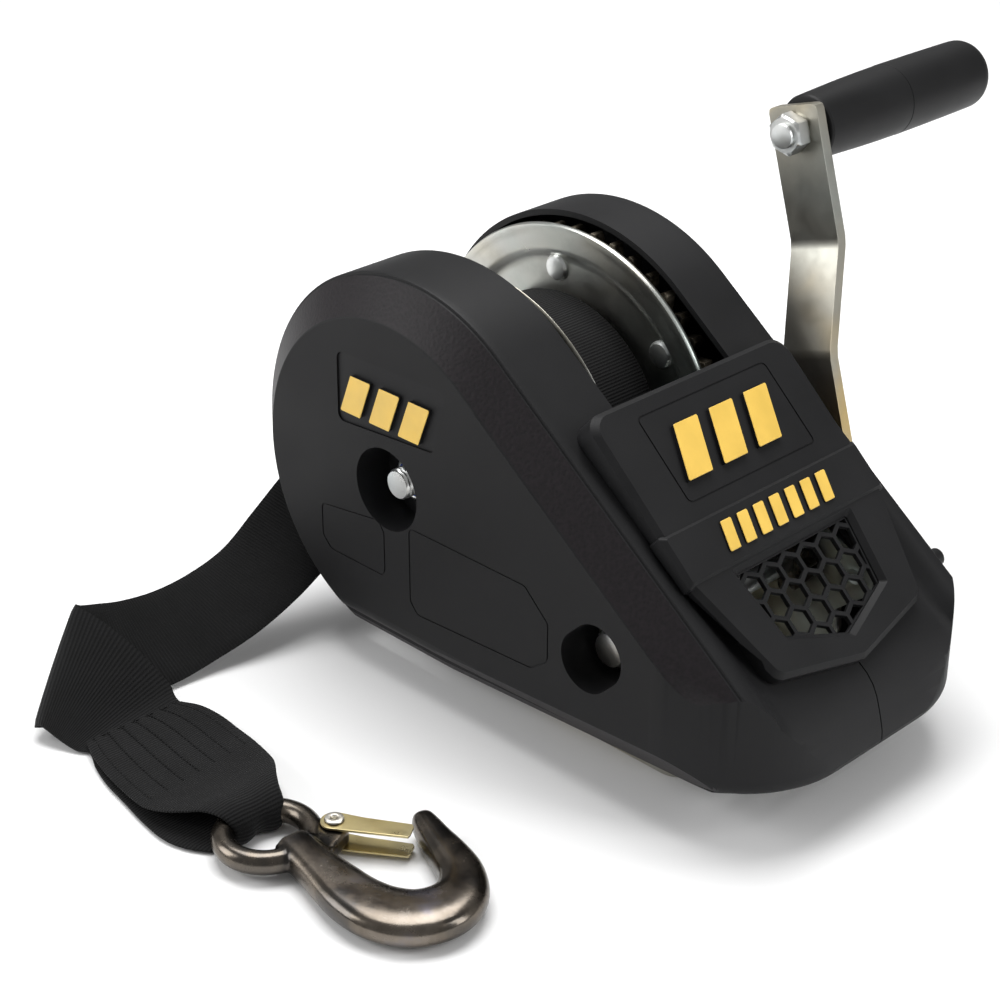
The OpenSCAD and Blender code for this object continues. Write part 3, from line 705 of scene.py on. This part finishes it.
def coil(name, middle, axis, radius, wire, turns, pitch, tails=0.0):
    """A coil of round wire, with straight tails if asked."""
    curve = bpy.data.curves.new(name, "CURVE")
    curve.dimensions = "3D"
    curve.bevel_depth = wire * MM
    curve.bevel_resolution = 4
    curve.use_fill_caps = True
    axis = Vector(axis).normalized()
    side = axis.orthogonal().normalized()
    other = axis.cross(side)
    count = int(turns * 24)
    places = []
    for i in range(count + 1):
        a = TAU * i / 24
        height = (i / 24 - turns / 2) * pitch
        places.append(Vector(middle) + radius * (side * math.cos(a) + other * math.sin(a)) + axis * height)
    if tails:
        places.insert(0, places[0] + (places[0] - places[1]).normalized() * tails)
        places.append(places[-1] + (places[-1] - places[-2]).normalized() * tails)
    line = curve.splines.new("POLY")
    line.points.add(len(places) - 1)
    for point, place in zip(line.points, places):
        point.co = (*(place * MM), 1)
    helper = linked(name + "_line", curve)
    mesh = evaluated(helper)
    bpy.data.objects.remove(helper)
    mesh.materials.clear()
    mesh.materials.append(FASTENER)
    mesh.shade_smooth()
    return linked(name, mesh)


gate_spring = coil("latch_coil", (LATCH.x, LATCH.y, 8), (0, 0, 1), 3.5, 0.42, 5.5, 1.15, 5.0)
finish(gate_spring, "frame", "zinc_fastener", "latch_spring")
rocker_spring = coil("pawl_coil", centre("pawl_spring"), (0, 1, 0), 4.9, 0.8, 3.2, 0.55)
for vertex in rocker_spring.data.vertices:
    vertex.co.y += 0.001
finish(rocker_spring, "frame", "zinc_fastener", "pawl_spring")


def latch_rivet():
    """A tubular rivet with a rolled head at each end."""
    profile = [
        (0, 1.4), (1.3, 1.4), (1.5, 0.6), (2.4, 0.45), (4.1, 0.7), (4.3, 1.3), (3.9, 1.9), (2.5, 2.1),
        (2.5, 13.9), (3.9, 14.1), (4.4, 14.7), (4.1, 15.3), (3.0, 15.6), (1.9, 15.4), (1.5, 14.8),
        (1.4, 13.4), (0, 13.4),
    ]
    rings = [[(x, y, z) for x, y in circle(LATCH.x, LATCH.y, r, 40)] for r, z in profile]
    return smooth(tidy_mesh(make("latch_rivet", *loft(rings), FASTENER), FINE_GAP), 40)


rivet = finish(latch_rivet(), "frame", "zinc_fastener", "latch_pin")

strap_path = [tuple(p * MM) for p in strap_line]
strap_length = sum((b - a).length for a, b in zip(strap_line, strap_line[1:])) * MM
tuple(strap_path[0])


# ---- covers ----
def hull_points(points):
    points = sorted(set(points))

    def chain(items):
        kept = []
        for p in items:
            while len(kept) > 1:
                (ax, ay), (bx, by) = kept[-2], kept[-1]
                if (bx - ax) * (p[1] - ay) - (by - ay) * (p[0] - ax) > 0:
                    break
                kept.pop()
            kept.append(p)
        return kept[:-1]

    return chain(points) + chain(reversed(points))


def clip(outline, normal, offset):
    """Keeps the side of a convex outline where normal . p >= offset."""
    kept = []
    for i, p in enumerate(outline):
        q = outline[(i + 1) % len(outline)]
        dp, dq = normal[0] * p[0] + normal[1] * p[1] - offset, normal[0] * q[0] + normal[1] * q[1] - offset
        if dp >= 0:
            kept.append(p)
        if dp * dq < 0:
            t = dp / (dp - dq)
            kept.append((p[0] + (q[0] - p[0]) * t, p[1] + (q[1] - p[1]) * t))
    return kept


OUTLINE_EYE = (10, 75)
NOSE_X = 158
NOSE_R = 60


def smoothstep(low, high, value):
    t = max(0.0, min(1.0, (value - low) / (high - low)))
    return t * t * (3 - 2 * t)


def under_bezel(y, x, z):
    """How far the surface has sunk, from 0 to 1, below the bezel's lower end."""
    s = (x - DRUM.x) * math.sin(TOP_LEAN) - (z - DRUM.z) * math.cos(TOP_LEAN)
    return smoothstep(71, 56, y) * smoothstep(96, 118, s) * smoothstep(31, 56, z)


FOOT_Z = 34
FOOT_R = 9


def nose_plan(name, inset):
    """The covers' outline seen from above, as a tall prism that tucks in round the foot."""
    rings = []
    levels = [-20] + [FOOT_Z - FOOT_R * math.cos(math.pi / 2 * k / 8) for k in range(9)] + [240]
    for z in levels:
        drop = min(FOOT_R, max(0, FOOT_Z - z))
        tuck = inset + FOOT_R - math.sqrt(FOOT_R ** 2 - drop ** 2)
        side, nose = COVER_Y - tuck, NOSE_X - tuck
        corners = [(-220, -side), (nose, -side), (nose, side), (-220, side)]
        outline = rounded(corners, [0, NOSE_R - tuck, NOSE_R - tuck, 0], 28)
        rings.append([(x, y, z) for x, y in outline])
    return tidy_mesh(make(name, *loft(rings), COVER))


def cover_outline(inset, top=170, bottom=40):
    """The cover's side outline drawn in by inset, with its points at matching places for every inset."""
    discs = [(DRUM.x, DRUM.z, CREST_R - inset), (138, 52, 20 - min(inset, 17)), (149, 34, 9 - min(inset, 7))]
    points = hull_points([p for x, z, r in discs for p in circle(x, z, r, 360)])
    floor = 13 + inset
    rise = 12 / 220
    points = clip(points, (0, 1), floor)
    points = clip(points, (-rise, 1), floor + 42 * rise)
    kink = (-42, floor)
    left = min((p for p in points if abs(p[1] - floor) < 1e-6), key=lambda p: p[0])
    right = max((p for p in points if abs(p[1] - rise * p[0] - floor - 42 * rise) < 1e-6), key=lambda p: p[0])
    seen = np.array(points)
    ahead = np.roll(seen, -1, 0) - seen
    eye = np.array(OUTLINE_EYE)

    def cast(a):
        way = np.array((math.cos(a), math.sin(a)))
        across = ahead[:, 0] * way[1] - ahead[:, 1] * way[0]
        gap = seen - eye
        with np.errstate(divide="ignore", invalid="ignore"):
            far = (gap[:, 1] * ahead[:, 0] - gap[:, 0] * ahead[:, 1]) / across
            share = (gap[:, 1] * way[0] - gap[:, 0] * way[1]) / across
        hit = np.where((far > 0) & (share > -1e-9) & (share < 1 + 1e-9))[0]
        return tuple(eye + way * far[hit[0]])

    def angle(p):
        return math.atan2(p[1] - eye[1], p[0] - eye[0])

    first, last = angle(right), angle(left) % TAU
    outline = [right] + [cast(first + (last - first) * k / top) for k in range(1, top)] + [left]
    for start, end, count in ((left, kink, 12), (kink, right, bottom)):
        run, climb = end[0] - start[0], end[1] - start[1]
        outline += [(start[0] + run * k / count, start[1] + climb * k / count) for k in range(1, count)]
        if end is kink:
            outline.append(kink)
    return outline


SINK = 7


def cover_rings(side, rows):
    """The cover's outline at each row of (inset, y), sunk below the bezel."""
    rings = []
    for inset, y in rows:
        outline, sunk = cover_outline(inset), cover_outline(inset + SINK)
        ring = []
        for (x, z), (deep_x, deep_z) in zip(outline, sunk):
            share = under_bezel(y, x, z)
            ring.append((x + (deep_x - x) * share, side * y, z + (deep_z - z) * share))
        rings.append(ring)
    return rings


def cover(name, side, rim):
    """One cover half as a shell: side is -1 (left) or 1 (right), rim is where its inner edge lies."""
    middle = (0.35, 30, 50, 56, 59, 62, 65, 68, 71)
    outside = [(0, y) for y in middle]
    outside += [(0, 74.6), (0.35, 75.2), (1.5, 75.5), (1.6, 76.5), (17.7, 89.4), (18.7, 90)]
    inside = [(3, -4)] + [(3, y) for y in middle] + [(3.4, 72.5), (21.5, 87)]
    outer = cover_rings(side, outside)
    count = len(outer[0])
    shell = make(name, *loft(outer), COVER, SHOULDER, PANEL)
    slope_row = len(outside) - 3
    for polygon in shell.data.polygons:
        if polygon.index < count * (len(outside) - 1):
            polygon.material_index = 1 if polygon.index // count == slope_row else 0
        elif polygon.index == len(shell.data.polygons) - 1:
            polygon.material_index = 2
    tidy_mesh(shell)
    hollow = tidy_mesh(make("hollow", *loft(cover_rings(side, inside)), COVER))
    boolean(shell, "INTERSECT", nose_plan("plan", 0))
    boolean(hollow, "INTERSECT", nose_plan("plan", 3))
    boolean(shell, "DIFFERENCE", hollow)
    ends = sorted((side * rim, side * -6))
    crest = [(ends[0], -320), (ends[1], -320), (ends[1], 184), (ends[0], 184)]
    bottom = [(-112, -10), (112, -10), (112, 28), (-112, 28)]
    window = [(-42, 121), (42, 121), (37, 158), (0, 174), (-37, 158)]
    return shell, [
        slope_prism("open_side", crest, -260, 130, TOP_LEAN),
        prism_y("open_bottom", bottom, *sorted((side * -1, side * 67.5))),
        slope_prism("window_room", window, 90, 137),
    ]


def slit(points, y0, y1, radius=0.0):
    return prism_y("cutter", rounded(points, radius) if radius else points, y0, y1)


def left_cover():
    shell, cutters = cover("left_cover_shell", -1, 37)
    # Borders of two plain moulded panels
    borders = (
        [(-118, 82), (-76, 88), (-72, 82), (-72, 58), (-112, 58), (-118, 64)],
        [(-55, 92), (22, 92), (37, 78), (37, 58), (26, 50), (-50, 46), (-55, 52)],
    )
    for border in borders:
        ring = slit(border, -91, -89.55, 4)
        boolean(ring, "DIFFERENCE", slit(drawn_in(list(reversed(border)), 0.8), -92, -88, 3.2))
        cutters.append(ring)
    axle = circle(DRUM.x, DRUM.z, 21, 72)
    oval = hull_points(circle(60, 68, 15, 72) + circle(66, 74, 15, 72))
    wells = ((axle, DRUM, 14.6, -67.5), (oval, CRANK, 13.4, -62))
    for outline, at, nut_r, floor_y in wells:
        wide = [(x + (x - at.x) * 0.08, z + (z - at.z) * 0.08) for x, z in outline]
        boolean(shell, "UNION", slit(wide, -88.5, floor_y))
        cutters.append(slit(outline, -95, floor_y - 1.5))
        cutters.append(slit(circle(at.x, at.z, nut_r, 56), floor_y - 3, floor_y + 3))
    boolean(shell, "DIFFERENCE", *cutters)
    panel = rounded([(-103, 131.5), (-37, 136.5), (-28, 169.5), (-102.5, 167.5)], [4, 4, 4, 4])
    boolean(shell, "DIFFERENCE", slit(panel, -92, -89.1))
    return soften(tidy_mesh(shell, CUT_GAP), 0.55)


def right_cover():
    shell, cutters = cover("right_cover_shell", 1, 43)
    cutters.append(slit(circle(CRANK.x, CRANK.z, 14, 56), 80, 95))
    # The pawl's pin, and the lever's tip from there
    pivot, far = Vector((94, 66)), Vector((24, 8))
    slot_points = []
    for turn in (-20, 0, 20):
        a = math.radians(turn)
        x, z = far.x * math.cos(a) - far.y * math.sin(a), far.x * math.sin(a) + far.y * math.cos(a)
        slot_points += circle(pivot.x + x, pivot.y + z, 7.6, 40)
    cutters.append(slit(hull_points(slot_points), 74, 95))
    boolean(shell, "DIFFERENCE", *cutters)
    return soften(tidy_mesh(shell, CUT_GAP), 0.55)


finish(left_cover(), "frame", "black_plastic", "left_cover")
finish(right_cover(), "frame", "black_plastic", "right_cover")


# ---- bezel ----
BEZEL_EDGE = [(-67, 34), (67, 34), (67, 121), (52, 173), (0, 184), (-52, 173), (-67, 121)]
WINDOW = [(-39, 124), (39, 124), (34, 158), (0, 171), (-34, 158)]


def slope_body(name, points, radii, *levels):
    """A body on the slope whose outline is drawn in at each level of (inset, d)."""
    rings = []
    for inset, d in levels:
        rings.append([on_slope(y, s, d) for y, s in rounded(drawn_in(points, inset), radii)])
    return tidy_mesh(make(name, *loft(rings), COVER))


def bezel():
    top = BEZEL_D - 1.3
    body = slope_body("bezel_shell", BEZEL_EDGE, [9, 9, 6, 7, 4, 7, 6], (0, 94), (0, top - 2.6), (2.4, top))
    hollow = slope_body("hollow", BEZEL_EDGE, [6, 6, 4, 5, 3, 5, 4], (4.5, 80), (4.5, top - 5))
    boolean(body, "DIFFERENCE", hollow)
    edge = [(-68.2, 95), (68.2, 95), (68.2, 121.5), (-68.2, 121.5)]
    band = slope_body("band", edge, [1.2] * 4, (0, 100), (0, BEZEL_D - 2.2), (2.2, BEZEL_D))
    boolean(band, "DIFFERENCE", slope_body("hollow", edge, [1] * 4, (5, 90), (5, top - 5)))
    boolean(body, "UNION", band)
    # What lies under the covers' top is cut away, except above the sunk part
    all_round = [(-120, -200), (120, -200), (120, 320), (-120, 320)]
    sunk = [(-54, 116), (54, 116), (54, 330), (-54, 330)]
    under = slope_prism("under", all_round, -150, CREST_R + 0.35, TOP_LEAN)
    boolean(under, "DIFFERENCE", slope_prism("keep", sunk, CREST_R - SINK + 0.3, 140, TOP_LEAN))
    boolean(body, "DIFFERENCE", under)
    levels = ((0, 100), (0, top - 2.5), (-2.5, top + 0.1))
    boolean(body, "DIFFERENCE", slope_body("opening", WINDOW, [1.5, 1.5, 2, 2, 2], *levels))
    frame_out = rounded([(-42, 43), (46, 43), (46, 88), (-42, 88)], 3)
    frame_in = rounded([(-41.2, 43.8), (45.2, 43.8), (45.2, 87.2), (-41.2, 87.2)], 2.4)
    groove = slope_prism("groove", frame_out, top - 0.5, top + 2)
    boolean(groove, "DIFFERENCE", slope_prism("island", frame_in, top - 3, top + 4))
    boolean(body, "DIFFERENCE", groove)
    return soften(tidy_mesh(body, CUT_GAP), 0.45, 28)


finish(bezel(), "frame", "black_plastic", "front_bezel")


# ---- gold bars ----
def bars(count, width, height, pitch, lean):
    for i in range(count):
        x = (i - (count - 1) / 2) * pitch
        yield [(x - width / 2 - lean, -height / 2), (x + width / 2 - lean, -height / 2),
               (x + width / 2 + lean, height / 2), (x - width / 2 + lean, height / 2)]


def badge(name, outlines, place, low, high):
    """Raised bars with black sides and gold tops."""
    parts, tops = [], []
    for outline in outlines:
        soft = rounded(outline, 0.7, 3)
        small = rounded(drawn_in(outline, 0.25), 0.5, 3)
        levels = ((soft, low), (soft, high - 0.25), (small, high))
        part = loft([[place(x, y, d) for x, y in points] for points, d in levels])
        parts.append(part)
        # The faces are the sides, the sloped edge, the bottom and the top
        count, total = len(soft), len(part[1])
        tops += [count <= index < 2 * count or index == total - 1 for index in range(total)]
    made = make(name, *joined(parts), COVER, GOLD)
    for polygon, top in zip(made.data.polygons, tops):
        polygon.material_index = int(top)
    return smooth(tidy_mesh(made, 0), 30)


def front_place(s0):
    return lambda x, y, d: on_slope(x, s0 - y, d)


def side_place(x, z, d):
    return -69 + x, -d, 148 + z


for name, outlines, place, low, high, node in (
    ("front_bars", bars(3, 16, 26, 24, 5), front_place(66), BEZEL_D - 2, BEZEL_D + 1.2, "front_badge"),
    ("band_bars", bars(7, 7, 14, 11, 2), front_place(108), BEZEL_D - 1, BEZEL_D + 1.2, "band_badge"),
    ("side_bars", bars(3, 14, 20, 20, 4), side_place, COVER_Y - 1.2, COVER_Y + 1.2, "side_badge"),
):
    finish(badge(name, outlines, place, low, high), "frame", "gold_paint", node)


# ---- wound strap ----
def strap_spiral():
    """The wound turns of the strap, one on the next."""
    pitch, outer, turns = 2.35, 67, 13.4
    per_turn = 72
    y0, y1 = reach("strap_roll", 1)
    # Across the strap and down through its thickness
    profile = [
        (y0 + 0.9, 0), (y0 + 12, 0), (0.5 * (y0 + y1), 0), (y1 - 12, 0), (y1 - 0.9, 0), (y1 - 0.35, 0.5),
        (y1 - 0.35, 1.6), (y1 - 0.9, 2.1), (y0 + 0.9, 2.1), (y0 + 0.35, 1.6), (y0 + 0.35, 0.5),
    ]
    rings, lengths, travelled = [], [], 0.0
    for i in range(int(turns * per_turn) + 1):
        a = math.pi + TAU * i / per_turn
        r_out = outer - pitch * i / per_turn
        travelled += r_out * TAU / per_turn
        lengths.append(travelled)
        jitter = 0.35 * math.sin(0.9 * i / per_turn * TAU) + 0.25 * math.sin(2.3 * i / per_turn)
        section = []
        for y, drop in profile:
            r = r_out - drop
            y = max(y0, min(y1, y + jitter * 0.5))
            section.append((DRUM.x + r * math.cos(a), y, DRUM.z + r * math.sin(a)))
        rings.append(section)
    made = make("strap_turns", *loft(rings), WEBBING)
    uv = made.data.uv_layers.new(name="strap")
    for loop in made.data.loops:
        ring = loop.vertex_index // len(profile)
        uv.data[loop.index].uv = (lengths[ring] * MM, made.data.vertices[loop.vertex_index].co.y)
    return smooth(tidy_mesh(made, 0), 40)


finish(strap_spiral(), "drum", "webbing", "strap_roll")


# ---- fasteners ----
def threaded(name, at, radius, y0, y1, pitch):
    """A rod along Y from y0 to y1 with a helical thread, chamfered at both ends."""
    around, per_pitch, lead = 48, 8, 1.2
    rows = int((y1 - y0) / pitch * per_pitch)
    depth = 0.55 * pitch
    rings = []
    for row in range(rows + 1):
        y = y0 + (y1 - y0) * row / rows
        limit = radius - max(0, lead - min(y - y0, y1 - y)) * 0.9
        ring = []
        for k, a in enumerate(angles(around)):
            phase = ((y - y0) / pitch - k / around) % 1
            r = min(limit, radius - depth * abs(2 * phase - 1) ** 0.8)
            ring.append((at.x + r * math.cos(a), y, at.z + r * math.sin(a)))
        rings.append(ring)
    return smooth(tidy_mesh(make(name, *loft(rings), FASTENER), FINE_GAP), 50)


def hex_nut(name, at, flats, bore, y0, y1, turn):
    """A hexagon nut along Y, its corners turned down to a chamfer at each end."""
    corner = flats / 2 / math.cos(math.pi / 6)
    rings = []
    for y, drop in ((y0, None), (y0, 1.9), (y0 + 1.1, 0), (y1 - 1.1, 0), (y1, 1.9), (y1, None)):
        ring = []
        for a in angles(96):
            local = (a + turn) % (math.pi / 3) - math.pi / 6
            r = bore if drop is None else min(flats / 2 / math.cos(local), corner - drop)
            ring.append((at.x + r * math.cos(a), y, at.z + r * math.sin(a)))
        rings.append(ring)
    return smooth(tidy_mesh(make(name, *loft(rings + rings[:1], False), FASTENER), FINE_GAP), 24)


def merge(name, *parts):
    """Joins objects into one, keeping each one's material."""
    target = bmesh.new()
    looks = []
    for part in parts:
        start = len(target.faces)
        target.from_mesh(part.data)
        target.faces.ensure_lookup_table()
        for face in target.faces[start:]:
            look = part.data.materials[face.material_index]
            if look not in looks:
                looks.append(look)
            face.material_index = looks.index(look)
    mesh = bpy.data.meshes.new(name)
    target.to_mesh(mesh)
    target.free()
    for look in looks:
        mesh.materials.append(look)
    for part in parts:
        bpy.data.objects.remove(part)
    return smooth(linked(name, mesh), 30)


def drum_axle():
    y0, y1 = reach("drum_bolt", 1)
    radius, thread_end = 7.85, -50
    under_head = y1 - 9.9
    shank = [(0, thread_end), (radius, thread_end), (radius, under_head), (0, under_head)]
    return merge(
        "axle_bolt",
        hex_nut("head", DRUM, 24, 0.05, y1 - 10, y1, 0.3),
        turned("shank", shank, DRUM, 48, FASTENER),
        threaded("thread", DRUM, radius, y0, thread_end, 2.1),
    )


def drum_lock_nut():
    y0, y1 = reach("drum_nut", 1)
    low, high = y0 - 2.6, y0 + 0.2
    collar = [
        (9.4, high), (10.3, high), (11.3, high), (11.3, low + 1.2), (10.9, low + 0.2), (10.0, low),
        (9.4, low + 0.25), (9.4, high),
    ]
    nut = hex_nut("nut", DRUM, 24, 7.95, y0, y1, 0.35)
    return merge("axle_nut", nut, turned("collar", collar, DRUM, 64, FASTENER))


def ring_piece(name, at, inner, outer, y0, y1, look, soft=0.4):
    """A flat ring along Y with small chamfers."""
    profile = [
        (inner, y0 + soft), (inner + soft, y0), (outer - soft, y0), (outer, y0 + soft), (outer, y1 - soft),
        (outer - soft, y1), (inner + soft, y1), (inner, y1 - soft), (inner, y0 + soft),
    ]
    rings = [ring_y(at, r, y, 64) for r, y in profile]
    return smooth(tidy_mesh(make(name, *loft(rings, False), look), FINE_GAP), 30)


def shaft_end_nut():
    y0, y1 = reach("shaft_lock_nut", 1)
    nut = hex_nut("nut", CRANK, 19, 8.02, y0, y1 - 2, 0.2)
    flange = ring_piece("flange", CRANK, 8.02, 13, y1 - 2.2, y1, FASTENER, 0.6)
    return merge("shaft_end_nut", nut, flange)


finish(drum_axle(), "frame", "zinc_fastener", "drum_bolt")
finish(drum_lock_nut(), "frame", "zinc_fastener", "drum_nut")
insert_low, insert_high = reach("drum_nut_insert", 1)
nylon_ring = ring_piece("nylon_ring", DRUM, 7.9, 9.5, insert_low - 0.2, insert_high, NYLON)
finish(nylon_ring, "frame", "nylon_blue", "drum_nut_insert")
finish(shaft_end_nut(), "crank", "zinc_fastener", "shaft_lock_nut")
crank_hex = hex_nut("crank_hex_nut", CRANK, 22, 8.02, *reach("crank_nut", 1), 0.1)
finish(crank_hex, "crank", "zinc_fastener", "crank_nut")
grip_hex = hex_nut("grip_hex_nut", GRIP, 18, 6.02, *reach("grip_nut", 1), 0.25)
finish(grip_hex, "crank", "zinc_fastener", "grip_nut")


def rivets():
    profile = [
        (0, 35.3), (3.6, 35.35), (5.8, 35.9), (6.9, 37.2), (7, 38), (4, 38), (4, 47), (5.5, 47), (5.4, 48.2),
        (0, 48.5),
    ]
    parts = []
    for i in range(6):
        a = math.radians(40 + 60 * i)
        at = Vector((DRUM.x + 74 * math.cos(a), 0, DRUM.z + 74 * math.sin(a)))
        parts.append(turned("rivet", profile, at, 40, FASTENER))
    return merge("flange_rivets", *parts)


finish(rivets(), "drum", "zinc_fastener", "drum_rivets")


# ---- drum flange ----
def gear_flange():
    """Pressed flange with a stepped ring and a curled rim."""
    r = 97.5
    profile = [
        (11, 38), (76.5, 38), (79.5, 37.6), (81.5, 36.4), (83, 34.6), (85.5, 34.0), (90.5, 34.0),
        (93.8, 33.6), (95.6, 33.0), (96.9, 33.2), (r, 34.2), (r, 35.6), (96.8, 36.6), (95, 37.0), (86, 37.2),
        (84.4, 38.2), (83, 40), (80.5, 41), (11, 41), (11, 38),
    ]
    rings = [ring_y(DRUM, q, y, 180) for q, y in profile]
    return smooth(tidy_mesh(make("gear_side_flange", *loft(rings, False), ZINC), FINE_GAP), 50)


finish(gear_flange(), "drum", "zinc_plate", "right_flange")


# ---- crank arm ----
def crank_bar():
    """A flat bar with an offset bend, round at the shaft and square at the grip."""
    run = Vector((GRIP.x - CRANK.x, GRIP.z - CRANK.z))
    ahead = run.normalized()
    low, high = reach("crank_arm", 1)
    half, thick = 14.7, 6
    offset = high - low - thick
    end = run.length + 12.5
    # Along the bar and half across it: round, straight, bent, straight and square
    quarter = [math.pi / 2 * k / 10 for k in range(1, 11)]
    stations = [(-half, 0.8)] + [(-half * math.cos(a), half * math.sin(a)) for a in quarter]
    stations += [(v, half) for v in (86.5, 91.5, 136.5, 141.5, end - 3)]
    stations += [(end - 1.0, half - 0.6), (end - 0.2, half - 2.2), (end, half - 4)]
    rings = []
    for v, w in stations:
        y = low + offset * max(0, min(1, (v - 89) / 50))
        ring = []
        for u, depth in ((-w, y), (w, y), (w, y + thick), (-w, y + thick)):
            ring.append((CRANK.x + ahead.x * v + ahead.y * u, depth, CRANK.z + ahead.y * v - ahead.x * u))
        rings.append(ring)
    return soften(tidy_mesh(make("crank_bar", *loft(rings), ARM_ZINC), FINE_GAP), 0.8, 50)


finish(crank_bar(), "crank", "zinc_plate", "crank_arm")


# ---- grip ----
def grip_handle():
    y0, _ = reach("grip", 1)
    end = reach("grip_cap", 1)[1]
    length = end - y0
    seam = y0 + 0.47 * length
    profile = [(6.1, y0 + 0.6), (6.6, y0), (14.2, y0), (15.4, y0 + 0.5), (16.0, y0 + 1.6)]
    for k in range(1, 12):
        t = k / 12
        profile.append((16.0 + 1.75 * math.sin(t * math.pi / 2), y0 + 1.6 + (seam - y0 - 1.6) * t))
    profile += [(17.78, seam - 0.25), (17.6, seam), (17.9, seam + 0.3)]
    for k in range(1, 8):
        profile.append((17.9 - 0.35 * (k / 8) ** 2, seam + (end - 10 - seam) * k / 8))
    for k in range(0, 13):
        a = math.pi / 2 * k / 12
        profile.append((17.5 - 8.5 + 8.5 * math.cos(a), end - 8.5 + 8.3 * math.sin(a)))
    profile += [(5, end - 0.05), (0, end)]
    return smooth(turned("grip_handle", [(0, y0 + 0.6)] + profile, GRIP, 96, GRIP_SKIN), 25)


finish(grip_handle(), "grip", "grip_rubber", "grip", "grip_cap")


# ---- the CAD nodes that stay ----
NODE_LOOKS = {"crank_shaft": FASTENER}
BEVELS = {"base_plate": 1.0, "bezel_mesh": 0.35, "lever_cap": 0.4}
slots = {row["node"]: row["material_slot"] for row in frame["record"]["subparts"]}
for name, node in frame["nodes"].items():
    look = NODE_LOOKS.get(name, SLOT_LOOKS[slots[name]])
    node.data.materials.clear()
    node.data.materials.append(look)
    if node.hide_render:
        continue
    modify(node, "WELD", merge_threshold=0.00001)
    bevel(node, BEVELS.get(name, 0.3), 40)
    smooth(node, 30)


# ---- surroundings ----
FLOOR = 9000
corners = [(-FLOOR, -FLOOR, 0), (FLOOR, -FLOOR, 0), (FLOOR, FLOOR, 0), (-FLOOR, FLOOR, 0)]
floor = make("floor", corners, [(0, 1, 2, 3)])
floor_look, n, shader = material("floor_paper", (0.93, 0.93, 0.93), 0.9)
link(n, n.grey(n.noise(3, 2, n.place()), 0.92, 0.94), shader, "Base Color")
floor.data.materials.append(floor_look)
floor.location.z = -0.0002

world = bpy.data.worlds.new("studio")
bpy.context.scene.world = world
world.use_nodes = True
wn = Nodes(world.node_tree)
backdrop = world.node_tree.nodes["Background"]
backdrop.inputs[0].default_value = (1, 1, 1, 1)
seen = wn.add("ShaderNodeLightPath").outputs["Is Camera Ray"]
wn.tree.links.new(wn.math("ADD", wn.math("MULTIPLY", seen, 0.7), 0.3), backdrop.inputs[1])


def area_light(name, place, target, size, power):
    data = bpy.data.lights.new(name, "AREA")
    data.shape = "RECTANGLE"
    data.size, data.size_y = size
    data.energy = power
    made = linked(name, data)
    made.location = place
    made.rotation_euler = (Vector(target) - Vector(place)).to_track_quat("-Z", "Y").to_euler()


area_light("top_box", (-0.5, 0.3, 1.9), (0, 0, 0.1), (1.6, 1.2), 42)
area_light("left_box", (-1.3, -1.5, 1.0), (0, 0, 0.1), (1.0, 1.2), 22)
area_light("right_box", (1.5, 0.6, 0.9), (0, 0, 0.1), (0.5, 1.4), 12)
bpy.context.scene.view_settings.view_transform = "Standard"
